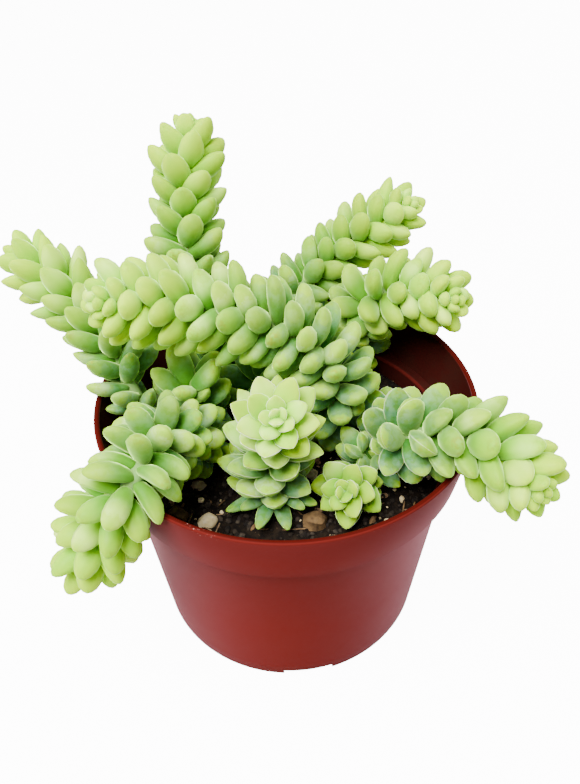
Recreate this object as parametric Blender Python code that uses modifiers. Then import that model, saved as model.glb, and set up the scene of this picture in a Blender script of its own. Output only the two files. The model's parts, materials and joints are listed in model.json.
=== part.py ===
"""A burro's tail sedum in a round plastic nursery pot, built at its real size.

The pot is one turned shell. Potting mix fills it to just under the rim, with plain holes that the
stems stand in. Each stem is one piece with its plump leaves, which spiral round it by the golden
angle, small and closed at the growing tip and long and open further down. All lengths below are in
millimetres. The origin is the middle of the pot's underside, with +Z up and the front at -Y.
"""

import math
import random

import bmesh
import bpy
import numpy as np
from mathutils import Matrix, Vector

MM = 0.001

# Pot
RIM_RADIUS = 57.5
POT_HEIGHT = 84.0
BAND_DEPTH = 18.4
BAND_TAPER = 2.8
BAND_STEP = 3.4
FOOT_RADIUS = 45.0
WALL = 1.7
FLOOR = 1.8
FOOT_RING_WIDTH = 3.6
CHANNEL_WIDTH = 8.0
CHANNEL_HEIGHT = 2.0
NOTCH_COUNT = 4
NOTCH_WIDTH = 16.0
NOTCH_HEIGHT = 1.8
NOTCH_TURN = math.radians(6.5)
DRAIN_COUNT = 6
DRAIN_RADIUS = 2.8
DRAIN_SIDES = 8
POT_STEPS = 36
LIP_STEPS = 4
LEDGE_ROUND = 0.8
MERGE_DISTANCE = 0.01

# Potting mix
SOIL_LEVEL = 61.5
SOIL_GAP = 0.3
SOIL_RELIEF = 0.9
SOIL_RINGS = 5
GRIT_COUNT = 10
GRIT_RADIUS = (0.9, 1.6)
GRIT_TO_WALL = 5.0
GRIT_TO_STEM = 6.6
# Bark and stone big enough to tell apart: the centre's x and y, then the piece's half sizes
CHIPS = [
    ((7.4, -33.0), (4.0, 3.0, 2.6)),
    ((-23.5, -31.5), (3.2, 2.3, 2.0)),
    ((-32.5, -28.5), (2.8, 2.2, 1.9)),
    ((-27.5, -16.5), (2.3, 1.9, 1.7)),
    ((7.0, -13.5), (2.5, 1.9, 1.8)),
]

# Stems
STEM_RADIUS = 2.2
STEM_DEPTH = 12.5
STEM_STRAIGHT = 2.5
HOLE_GAP = 0.5
HOLE_SIDES = 8
HOLE_TURN = math.radians(9)
STEM_RING_SPACING = 10.0
AXIS_STEP = 1.0
CURVE_STEPS = 24

# Leaves: length is from the stem's axis to the tip
LEAF_LENGTH = 16.6
LEAF_WIDTH = 8.8
LEAF_FLATNESS = 0.84
LEAF_CURL = 0.2
LEAF_SIDES = 5
LEAF_SIZE_SPREAD = (0.94, 1.05)
LEAF_TILT_SPREAD = 5.0
LEAF_TURN_SPREAD = 9.0
GOLDEN_ANGLE = math.radians(137.508)
LEAF_SPACING = 2.3
FIRST_LEAF = 1.0
TIP_CROWDING = 0.5
BUD_LEAVES = 6.0
BUD_REACH = 6.5
BUD_LENGTH = 0.22
BUD_WIDTH = 0.30
TILT_IN_BUD = 10.0
TILT_OPEN = 62.0
TILT_OPENING = 1.4
TILT_AGED = 18.0
AGED_REACH = 30.0
CLEARANCE = 0.5
RANDOM_SEED = 11
# Spheres that stand for a leaf in the clearance test: places along it and radii against half its width
SPHERE_PLACES = np.array([0.2, 0.34, 0.48, 0.62, 0.76, 0.88, 0.96])
SPHERE_RADII = np.array([0.55, 0.85, 1.0, 0.95, 0.78, 0.5, 0.22])
# A leaf that comes too near another piece is shrunk and turned by these shares and degrees in turn
LEAF_TRIES = [(shrink, turn) for shrink in (1.0, 0.86, 0.72, 0.6) for turn in (0, -12, 12, -24, 24, -36)]
# How far along the leaf each ring of its mesh lies, and how full the leaf is there
LEAF_RINGS = [(0.0, 0.0), (0.4, 1.03), (0.0, 0.0), (0.78, 0.82), (1.0, 0.0)]

# Each stem: where it stands in the mix, the points that its axis passes through from there up to
# the growing tip, and the size of its leaves against a full-grown stem's
STEMS = {
    "stem_back_upright": (
        (-20, 36),
        [(-22, 38, 80), (-30, 40, 103), (-31, 48, 115), (-30, 57, 128), (-29, 66, 141)],
        1.0,
    ),
    "stem_arching_left": (
        (15, 8),
        [(15, -5, 86), (11, -5, 100), (1, -4, 109), (-11, -3, 113), (-26, -2, 117), (-39, -1, 119),
         (-50, 0, 120)],
        1.0,
    ),
    "stem_far_left": (
        (-40, 6),
        [(-46, 3, 80), (-53, 12, 93), (-61, 21, 101), (-72, 29, 108), (-83, 36, 113)],
        0.95,
    ),
    "stem_front_left": (
        (-29, -4),
        [(-33, -18, 85), (-36, -33, 93), (-39, -42, 92), (-45, -44, 84), (-51, -43, 73), (-57, -44, 59)],
        0.94,
    ),
    "stem_inner_left": ((-22, 17), [(-28, 1, 76), (-28, -3, 90)], 0.9),
    "stem_front": ((-4, -21), [(-4, -24, 76), (-3, -29, 101)], 1.05),
    "stem_small": ((20, -21), [(16, -34, 76)], 0.75),
    "stem_right": (
        (30, -6),
        [(32, -23, 86), (40, -27, 91), (48, -31, 92), (56, -36, 90), (61, -40, 88), (64, -45, 85)],
        1.0,
    ),
    "stem_back_right": ((19, 40), [(24, 38, 82), (29, 30, 97), (40, 28, 100), (52, 20, 101)], 1.0),
    "stem_back_high": (
        (-1, 44),
        [(2, 48, 84), (16, 56, 95), (27, 60, 103), (37, 61, 108), (47, 62, 112)],
        0.92,
    ),
    "stem_inner_middle": ((-4, 16), [(-6, 14, 72), (-9, 10, 82)], 0.85),
    "stem_inner_right": ((26, -8), [(25, -19, 70), (21, -18, 77)], 0.8),
}

COLORS = {
    "pot": ((0.33, 0.045, 0.032), 0.42),
    "soil": ((0.028, 0.017, 0.011), 0.95),
    "leaf": ((0.38, 0.58, 0.17), 0.48),
}


def material(name):
    """A plain surface in the part's own colour and roughness."""
    color, roughness = COLORS[name]
    made = bpy.data.materials.new(name)
    made.use_nodes = True
    shader = made.node_tree.nodes["Principled BSDF"]
    shader.inputs["Base Color"].default_value = (*color, 1.0)
    shader.inputs["Roughness"].default_value = roughness
    shader.inputs["Metallic"].default_value = 0.0
    return made


def collection(name):
    """A new collection in the scene."""
    made = bpy.data.collections.new(name)
    bpy.context.scene.collection.children.link(made)
    return made


def object_of(mesh, name, home):
    """A new object in a collection."""
    made = bpy.data.objects.new(name, mesh)
    home.objects.link(made)
    return made


def mesh_of(bm, name):
    """Turn a bmesh into a mesh datablock."""
    mesh = bpy.data.meshes.new(name)
    bm.to_mesh(mesh)
    bm.free()
    return mesh


def bake(item):
    """Replace an object's mesh and modifiers by the mesh that they evaluate to."""
    bpy.context.view_layer.update()
    seen = item.evaluated_get(bpy.context.evaluated_depsgraph_get())
    mesh = bpy.data.meshes.new_from_object(seen)
    item.modifiers.clear()
    item.data = mesh


def remove_all(home):
    """Drop a collection with everything in it."""
    for item in list(home.objects):
        bpy.data.objects.remove(item)
    bpy.data.collections.remove(home)


def turned(points, name, home):
    """A solid turned round the Z axis from radius and height pairs."""
    mesh = bpy.data.meshes.new(name)
    corners = [(radius * MM, 0.0, height * MM) for radius, height in points]
    mesh.from_pydata(corners, [(i, i + 1) for i in range(len(corners) - 1)], [])
    item = object_of(mesh, name, home)
    turn = item.modifiers.new("turn", "SCREW")
    turn.steps = POT_STEPS
    turn.render_steps = POT_STEPS
    turn.use_merge_vertices = True
    turn.merge_threshold = MERGE_DISTANCE * MM
    return item


def prism(name, sides, radius, height):
    """An upright prism for a cutter, with its middle at the origin."""
    bm = bmesh.new()
    reach = radius * MM
    bmesh.ops.create_cone(bm, cap_ends=True, segments=sides, radius1=reach, radius2=reach, depth=height * MM)
    return mesh_of(bm, name)


def boolean(item, operation, others, solver="EXACT"):
    """Join or cut an object with every object of a collection."""
    modifier = item.modifiers.new(operation.lower(), "BOOLEAN")
    modifier.operation = operation
    modifier.operand_type = "COLLECTION"
    modifier.collection = others
    modifier.solver = solver
    return modifier


def hide_cutters(home):
    """Keep cutters out of renders and show them as wires."""
    for item in home.objects:
        item.hide_render = True
        item.display_type = "WIRE"


def body_radius(height):
    """The outside radius of the pot below its rim band."""
    top = RIM_RADIUS - BAND_TAPER - BAND_STEP
    return FOOT_RADIUS + (top - FOOT_RADIUS) * height / (POT_HEIGHT - BAND_DEPTH)


def pot_profile():
    """The pot's section, from the middle of its floor up inside, over the lip and down outside."""
    band_bottom = POT_HEIGHT - BAND_DEPTH
    ledge = band_bottom + WALL
    raised_floor = CHANNEL_HEIGHT + FLOOR
    channel_out = FOOT_RADIUS - FOOT_RING_WIDTH
    channel_in = channel_out - CHANNEL_WIDTH
    lip = WALL / 2
    inside = [
        (0.0, FLOOR),
        (channel_in - WALL, FLOOR),
        (channel_in, raised_floor),
        (body_radius(raised_floor) - WALL, raised_floor),
        (body_radius(band_bottom) - WALL, ledge - LEDGE_ROUND),
        (body_radius(band_bottom) - WALL + LEDGE_ROUND, ledge),
        (RIM_RADIUS - BAND_TAPER - WALL, ledge),
        (RIM_RADIUS - 2 * lip, POT_HEIGHT - lip),
    ]
    top = []
    for step in range(1, LIP_STEPS):
        angle = math.pi * (1 - step / LIP_STEPS)
        top.append((RIM_RADIUS - lip + lip * math.cos(angle), POT_HEIGHT - lip + lip * math.sin(angle)))
    outside = [
        (RIM_RADIUS, POT_HEIGHT - lip),
        (RIM_RADIUS - BAND_TAPER, band_bottom + LEDGE_ROUND),
        (RIM_RADIUS - BAND_TAPER - LEDGE_ROUND, band_bottom),
        (body_radius(band_bottom), band_bottom - LEDGE_ROUND),
        (FOOT_RADIUS, 0.0),
        (channel_out, 0.0),
        (channel_out, CHANNEL_HEIGHT),
        (channel_in, CHANNEL_HEIGHT),
        (channel_in, 0.0),
        (0.0, 0.0),
    ]
    return inside + top + outside


def make_pot(parts, cutters):
    """The pot with its foot notches and drain holes."""
    pot = turned(pot_profile(), "pot", parts)
    cuts = bpy.data.collections.new("pot cuts")
    cutters.children.link(cuts)
    notch_length = 2 * FOOT_RING_WIDTH
    for index in range(NOTCH_COUNT):
        turn = NOTCH_TURN + index * math.tau / NOTCH_COUNT
        bm = bmesh.new()
        bmesh.ops.create_cube(bm, size=MM)
        notch = object_of(mesh_of(bm, "foot notch"), "foot notch", cuts)
        notch.scale = (NOTCH_WIDTH, notch_length, 2 * NOTCH_HEIGHT)
        reach = (FOOT_RADIUS - FOOT_RING_WIDTH / 2) * MM
        notch.location = (reach * math.sin(turn), -reach * math.cos(turn), 0.0)
        notch.rotation_euler = (0.0, 0.0, turn)
    for index in range(DRAIN_COUNT):
        turn = index * math.tau / DRAIN_COUNT
        drain = object_of(prism("drain hole", DRAIN_SIDES, DRAIN_RADIUS, 4 * FLOOR), "drain hole", cuts)
        reach = (FOOT_RADIUS - FOOT_RING_WIDTH - CHANNEL_WIDTH / 2) * MM
        drain.location = (reach * math.sin(turn), reach * math.cos(turn), (CHANNEL_HEIGHT + FLOOR / 2) * MM)
    hide_cutters(cuts)
    boolean(pot, "DIFFERENCE", cuts)
    pot.data.materials.append(material("pot"))


def soil_height(x, y):
    """The level of the potting mix, which rises and falls a little."""
    swell = math.sin(0.21 * x + 0.7) * math.cos(0.17 * y - 0.4)
    ripple = math.sin(0.43 * y + 0.26 * x)
    return SOIL_LEVEL + SOIL_RELIEF * (2 * swell + ripple) / 3


def grit_pieces():
    """The loose bits on top of the mix, as a centre and three half sizes each."""
    draw = random.Random(RANDOM_SEED)
    pieces = [((x, y, soil_height(x, y)), sizes) for (x, y), sizes in CHIPS]
    stands = [place for place, path, size in STEMS.values()]
    while len(pieces) < len(CHIPS) + GRIT_COUNT:
        reach = (body_radius(SOIL_LEVEL) - GRIT_TO_WALL) * math.sqrt(draw.random())
        turn = draw.uniform(0, math.tau)
        x, y = reach * math.cos(turn), reach * math.sin(turn)
        size = draw.uniform(*GRIT_RADIUS)
        near_stem = min(math.dist((x, y), place) for place in stands)
        near_grit = min(math.dist((x, y), centre[:2]) - max(sizes) for centre, sizes in pieces)
        if near_stem > GRIT_TO_STEM and near_grit > 2 * size:
            sizes = (size, size * draw.uniform(0.7, 1.0), size * draw.uniform(0.6, 0.8))
            pieces.append(((x, y, soil_height(x, y)), sizes))
    return pieces


def make_soil(parts, cutters, pieces):
    """The potting mix: a filling with relief and grit on top, and a plain hole for each stem."""
    raised_floor = CHANNEL_HEIGHT + FLOOR + SOIL_GAP
    channel_in = FOOT_RADIUS - FOOT_RING_WIDTH - CHANNEL_WIDTH
    edge = body_radius(SOIL_LEVEL) - WALL - SOIL_GAP
    bottom = [
        (edge, SOIL_LEVEL),
        (body_radius(raised_floor) - WALL - SOIL_GAP, raised_floor),
        (channel_in - SOIL_GAP, raised_floor),
        (channel_in - WALL - SOIL_GAP, FLOOR + SOIL_GAP),
        (0.0, FLOOR + SOIL_GAP),
    ]
    surface = [(edge * ring / SOIL_RINGS, SOIL_LEVEL) for ring in range(SOIL_RINGS)]
    soil = turned(surface + bottom, "soil", parts)
    bake(soil)
    bm = bmesh.new()
    bm.from_mesh(soil.data)
    bmesh.ops.triangulate(bm, faces=bm.faces)
    for vertex in bm.verts:
        x, y, z = vertex.co / MM
        if z > SOIL_LEVEL - SOIL_RELIEF:
            vertex.co.z = soil_height(x, y) * MM
    bm.to_mesh(soil.data)
    bm.free()
    draw = random.Random(RANDOM_SEED)
    grit = collection("grit")
    for centre, sizes in pieces:
        bm = bmesh.new()
        bmesh.ops.create_icosphere(bm, subdivisions=1, radius=MM)
        piece = object_of(mesh_of(bm, "grit"), "grit", grit)
        piece.location = Vector(centre) * MM
        piece.rotation_euler = (0.0, 0.0, draw.uniform(0, math.tau))
        piece.scale = sizes
    boolean(soil, "UNION", grit)
    bake(soil)
    remove_all(grit)
    holes = bpy.data.collections.new("stem holes")
    cutters.children.link(holes)
    shape = prism("stem hole", HOLE_SIDES, STEM_RADIUS + HOLE_GAP, 2 * STEM_DEPTH)
    for (x, y), path, size in STEMS.values():
        hole = object_of(shape, "stem hole", holes)
        hole.location = (x * MM, y * MM, (SOIL_LEVEL - HOLE_GAP) * MM)
        hole.rotation_euler = (0.0, 0.0, HOLE_TURN)
    hide_cutters(holes)
    boolean(soil, "DIFFERENCE", holes)
    soil.data.materials.append(material("soil"))


def distances_along(points):
    """How far along a path each of its points is."""
    steps = np.linalg.norm(np.diff(points, axis=0), axis=1)
    return np.concatenate([[0.0], np.cumsum(steps)])


def smooth_path(points, spacing, before_start=None):
    """Evenly spaced points on a smooth curve through the given ones.

    The curve leaves the first point as if it came from before_start.
    """
    before_start = before_start or 2 * points[0] - points[1]
    ends = [before_start, *points, 2 * points[-1] - points[-2]]
    fine = []
    for before, start, end, after in zip(ends, ends[1:], ends[2:], ends[3:]):
        for step in range(CURVE_STEPS):
            t = step / CURVE_STEPS
            bend = (-before + end) * t + (2 * before - 5 * start + 4 * end - after) * t * t
            bend += (-before + 3 * start - 3 * end + after) * t ** 3
            fine.append(start + bend / 2)
    fine.append(points[-1])
    fine = np.array(fine)
    along = distances_along(fine)
    places = np.linspace(0.0, along[-1], max(2, round(along[-1] / spacing)) + 1)
    return np.stack([np.interp(places, along, fine[:, axis]) for axis in range(3)], axis=1)


def stem_axis(place, path):
    """The stem's axis in short steps, straight up out of its hole and on to its tip."""
    foot = Vector((*place, SOIL_LEVEL - STEM_DEPTH))
    knee = Vector((*place, SOIL_LEVEL + STEM_STRAIGHT))
    bends = [Vector(point) for point in path]
    below = bends[0] - Vector((0.0, 0.0, 2 * (bends[0] - knee).length))
    straight = smooth_path([foot, knee], AXIS_STEP)
    return np.vstack([straight[:-1], smooth_path([knee, *bends], AXIS_STEP, below)])


def carried_frames(axis):
    """The axis's direction at each point, with a side direction carried along without twist."""
    tangents = np.gradient(axis, axis=0)
    tangents /= np.linalg.norm(tangents, axis=1)[:, None]
    side = np.array([1.0, 0.0, 0.0])
    sides = []
    for tangent in tangents:
        side = side - tangent * (side @ tangent)
        side /= np.linalg.norm(side)
        sides.append(side)
    return tangents, np.array(sides)


def leaf_spheres(root, direction, length, width):
    """Spheres that together fill a leaf, for testing what it comes near."""
    return np.column_stack([root + np.outer(SPHERE_PLACES * length, direction), SPHERE_RADII * width / 2])


def distance_to_wall(spheres):
    """How far each sphere's surface is from the pot's wall, taken as a turned strip."""
    band_bottom = POT_HEIGHT - BAND_DEPTH
    strip = [
        (RIM_RADIUS - WALL / 2, POT_HEIGHT - WALL / 2),
        (RIM_RADIUS - BAND_TAPER - WALL / 2, band_bottom + WALL / 2),
        (body_radius(band_bottom) - WALL / 2, band_bottom + WALL / 2),
        (FOOT_RADIUS - WALL / 2, WALL / 2),
    ]
    places = np.column_stack([np.hypot(spheres[:, 0], spheres[:, 1]), spheres[:, 2]])
    nearest = np.full(len(places), np.inf)
    for start, end in zip(np.array(strip), np.array(strip[1:])):
        run = end - start
        share = np.clip((places - start) @ run / (run @ run), 0.0, 1.0)
        gap = np.linalg.norm(places - start - np.outer(share, run), axis=1)
        nearest = np.minimum(nearest, gap)
    return nearest - WALL / 2 - spheres[:, 3]


def height_over_soil(spheres):
    """How far each sphere's surface is above the mix, where it is inside the pot."""
    inside = np.hypot(spheres[:, 0], spheres[:, 1]) < body_radius(SOIL_LEVEL)
    heights = spheres[:, 2] - spheres[:, 3] - SOIL_LEVEL - SOIL_RELIEF
    return np.where(inside, heights, np.inf)


def is_clear(spheres, others):
    """Whether a leaf's spheres keep clear of the pot, the mix and the other pieces' spheres."""
    if distance_to_wall(spheres).min() < CLEARANCE or height_over_soil(spheres).min() < CLEARANCE:
        return False
    gaps = np.linalg.norm(spheres[:, None, :3] - others[None, :, :3], axis=2)
    return (gaps - spheres[:, None, 3] - others[None, :, 3]).min() > CLEARANCE


def grow_leaves(axes, pieces):
    """Each stem's leaves, from its tip down, as a root, a direction, an up side and sizes."""
    names = list(STEMS)
    obstacles = [np.array([[*centre, max(sizes)] for centre, sizes in pieces])]
    owners = [np.full(len(pieces), -1)]
    for index, name in enumerate(names):
        tube = axes[name][::2]
        obstacles.append(np.column_stack([tube, np.full(len(tube), STEM_RADIUS)]))
        owners.append(np.full(len(tube), index))
    obstacles = np.vstack(obstacles)
    owners = np.concatenate(owners)
    leaves = {name: [] for name in names}
    for index, name in enumerate(names):
        draw = random.Random(RANDOM_SEED + index)
        axis = axes[name]
        size = STEMS[name][2]
        tangents, sides = carried_frames(axis)
        marks = distances_along(axis)
        start = draw.uniform(0, math.tau)
        count = 0
        while True:
            spread = TIP_CROWDING + (1 - TIP_CROWDING) * count / (count + BUD_LEAVES)
            below_tip = FIRST_LEAF + LEAF_SPACING * count * spread
            mark = marks[-1] - below_tip
            if mark < STEM_DEPTH + STEM_RADIUS:
                break
            growth = 1 - math.exp(-below_tip / BUD_REACH)
            aged = max(0.0, 1 - (mark - STEM_DEPTH) / AGED_REACH)
            length = LEAF_LENGTH * size * (BUD_LENGTH + (1 - BUD_LENGTH) * growth)
            length *= draw.uniform(*LEAF_SIZE_SPREAD)
            width = LEAF_WIDTH * size * (BUD_WIDTH + (1 - BUD_WIDTH) * growth)
            width *= draw.uniform(*LEAF_SIZE_SPREAD)
            tilt = TILT_IN_BUD + (TILT_OPEN - TILT_IN_BUD) * growth ** TILT_OPENING + TILT_AGED * aged
            tilt += draw.uniform(-LEAF_TILT_SPREAD, LEAF_TILT_SPREAD)
            around = start + count * GOLDEN_ANGLE
            around += math.radians(draw.uniform(-LEAF_TURN_SPREAD, LEAF_TURN_SPREAD))
            root = np.array([np.interp(mark, marks, axis[:, k]) for k in range(3)])
            nearest = np.argmin(np.abs(marks - mark))
            tangent = tangents[nearest]
            side = sides[nearest]
            outward = side * math.cos(around) + np.cross(tangent, side) * math.sin(around)
            strangers = obstacles[owners != index]
            for shrink, turn in LEAF_TRIES:
                angle = math.radians(tilt + turn)
                direction = tangent * math.cos(angle) + outward * math.sin(angle)
                spheres = leaf_spheres(root, direction, length * shrink, width * shrink)
                if is_clear(spheres, strangers):
                    up = tangent - direction * (tangent @ direction)
                    leaves[name].append((root, direction, up, length * shrink, width * shrink))
                    obstacles = np.vstack([obstacles, spheres])
                    owners = np.append(owners, np.full(len(spheres), index))
                    break
            count += 1
    return leaves


def leaf_mesh():
    """One plump leaf, one unit long and wide, from a coarse sphere with its rings moved."""
    bm = bmesh.new()
    bmesh.ops.create_uvsphere(bm, u_segments=LEAF_SIDES, v_segments=3, radius=1.0)
    for vertex in bm.verts:
        ring = round((vertex.co.z + 1) / 0.5)
        place, fullness = LEAF_RINGS[ring]
        around = Vector((vertex.co.x, vertex.co.y, 0.0)).normalized() if fullness else Vector()
        curl = LEAF_CURL * place ** 2
        vertex.co = (fullness * around.x / 2, fullness * LEAF_FLATNESS * around.y / 2 + curl, place)
    return mesh_of(bm, "leaf")


def keep_outer_body(item):
    """Fill hollows and drop scraps: keep only the largest closed surface of a mesh."""
    bm = bmesh.new()
    bm.from_mesh(item.data)
    bmesh.ops.triangulate(bm, faces=bm.faces)
    unseen = set(bm.faces)
    surfaces = []
    while unseen:
        border = [unseen.pop()]
        surface = list(border)
        while border:
            face = border.pop()
            for edge in face.edges:
                for other in edge.link_faces:
                    if other in unseen:
                        unseen.remove(other)
                        border.append(other)
                        surface.append(other)
        surfaces.append(surface)
    surfaces.sort(key=len)
    for surface in surfaces[:-1]:
        bmesh.ops.delete(bm, geom=surface, context="FACES")
    bmesh.ops.delete(bm, geom=[v for v in bm.verts if not v.link_faces], context="VERTS")
    bm.to_mesh(item.data)
    bm.free()


def make_stem(name, axis, leaves, shape, green, parts):
    """One stem with its leaves fused to it."""
    curve = bpy.data.curves.new(name + " axis", "CURVE")
    curve.dimensions = "3D"
    curve.bevel_depth = STEM_RADIUS * MM
    curve.bevel_resolution = 0
    curve.use_fill_caps = True
    straight = round(STEM_DEPTH + STEM_STRAIGHT)
    above_mix = smooth_path([Vector(point) for point in axis[straight::4]], STEM_RING_SPACING)
    points = [axis[0], *above_mix]
    spline = curve.splines.new("POLY")
    spline.points.add(len(points) - 1)
    for target, point in zip(spline.points, points):
        target.co = (*(point * MM), 1.0)
    tube = object_of(curve, name + " axis", parts)
    bpy.context.view_layer.update()
    seen = tube.evaluated_get(bpy.context.evaluated_depsgraph_get())
    mesh = bpy.data.meshes.new_from_object(seen)
    bpy.data.objects.remove(tube)
    bm = bmesh.new()
    bm.from_mesh(mesh)
    bmesh.ops.remove_doubles(bm, verts=bm.verts, dist=MERGE_DISTANCE * MM)
    bm.to_mesh(mesh)
    bm.free()
    stem = object_of(mesh, name, parts)
    stem.data.materials.append(green)
    foliage = collection(name + " leaves")
    for root, direction, up, length, width in leaves:
        forward = Vector(direction)
        above = Vector(up).normalized()
        turn = Matrix((above.cross(forward), above, forward)).transposed().to_4x4()
        grown = Matrix.Diagonal((width * MM, width * MM, length * MM, 1))
        leaf = object_of(shape, "leaf", foliage)
        leaf.matrix_world = Matrix.Translation(Vector(root) * MM) @ turn @ grown
    boolean(stem, "UNION", foliage, "MANIFOLD")
    bake(stem)
    remove_all(foliage)
    keep_outer_body(stem)


def main():
    """Build every piece into one collection."""
    for item in list(bpy.data.objects):
        bpy.data.objects.remove(item)
    parts = collection("potted burro's tail sedum")
    cutters = collection("cutters")
    pieces = grit_pieces()
    make_pot(parts, cutters)
    make_soil(parts, cutters, pieces)
    axes = {name: stem_axis(place, path) for name, (place, path, size) in STEMS.items()}
    leaves = grow_leaves(axes, pieces)
    shape = leaf_mesh()
    green = material("leaf")
    for name in STEMS:
        make_stem(name, axes[name], leaves[name], shape, green, parts)


main()
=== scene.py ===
"""A burro's tail sedum in its nursery pot: the finish of every piece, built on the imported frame.

The file is laid out as an add-on. Each operator makes one group of pieces: the pot, the potting mix,
the bits that lie on it, the leafy stems, and the stage with its lights and camera. Lengths are metres,
except in the tables of stems and chips and while leaves grow and settle, where they are millimetres.
MM turns one into the other. The front of the pot is at -Y.
"""

import json
import math
import random

import bpy
import numpy as np
from bpy.props import FloatProperty, FloatVectorProperty, IntProperty, PointerProperty
from bpy.types import Operator, Panel, PropertyGroup
from mathutils import Matrix, Vector, noise

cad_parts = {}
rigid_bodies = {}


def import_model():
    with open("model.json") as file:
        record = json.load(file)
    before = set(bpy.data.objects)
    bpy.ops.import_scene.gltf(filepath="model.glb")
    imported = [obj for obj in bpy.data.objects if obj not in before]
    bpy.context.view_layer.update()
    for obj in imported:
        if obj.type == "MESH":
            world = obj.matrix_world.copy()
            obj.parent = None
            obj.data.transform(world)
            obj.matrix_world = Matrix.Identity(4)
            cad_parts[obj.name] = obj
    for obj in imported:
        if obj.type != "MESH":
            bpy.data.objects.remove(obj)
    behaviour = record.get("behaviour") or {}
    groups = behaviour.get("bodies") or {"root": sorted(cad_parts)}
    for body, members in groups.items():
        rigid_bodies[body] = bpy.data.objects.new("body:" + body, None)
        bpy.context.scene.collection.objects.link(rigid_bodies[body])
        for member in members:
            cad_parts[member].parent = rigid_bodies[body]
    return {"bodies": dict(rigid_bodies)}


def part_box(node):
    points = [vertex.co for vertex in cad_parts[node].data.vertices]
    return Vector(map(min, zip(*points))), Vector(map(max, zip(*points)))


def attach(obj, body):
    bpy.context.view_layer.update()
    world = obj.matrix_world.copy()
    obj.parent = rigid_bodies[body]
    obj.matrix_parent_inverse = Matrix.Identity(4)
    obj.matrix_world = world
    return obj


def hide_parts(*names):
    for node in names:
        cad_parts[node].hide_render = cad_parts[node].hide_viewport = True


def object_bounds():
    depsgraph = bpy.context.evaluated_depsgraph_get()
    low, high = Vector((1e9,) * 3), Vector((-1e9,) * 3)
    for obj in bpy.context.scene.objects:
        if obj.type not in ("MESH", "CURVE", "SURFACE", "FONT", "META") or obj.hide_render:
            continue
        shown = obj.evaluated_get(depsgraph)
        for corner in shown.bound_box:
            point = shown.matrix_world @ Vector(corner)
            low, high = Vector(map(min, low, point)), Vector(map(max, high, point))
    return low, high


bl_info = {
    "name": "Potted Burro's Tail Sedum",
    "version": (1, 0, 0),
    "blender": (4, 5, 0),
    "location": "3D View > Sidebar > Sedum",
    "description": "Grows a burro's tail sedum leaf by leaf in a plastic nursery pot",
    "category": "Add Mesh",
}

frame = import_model()
CAD_BOX = [list(corner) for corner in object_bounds()]
POT_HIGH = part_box("pot")[1]
SOIL_LOW, SOIL_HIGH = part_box("soil")
BODY = next(iter(frame["bodies"]))
MM = 0.001
RANDOM_SEED = 11
WHITE = (1.0, 1.0, 1.0, 1.0)

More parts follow.
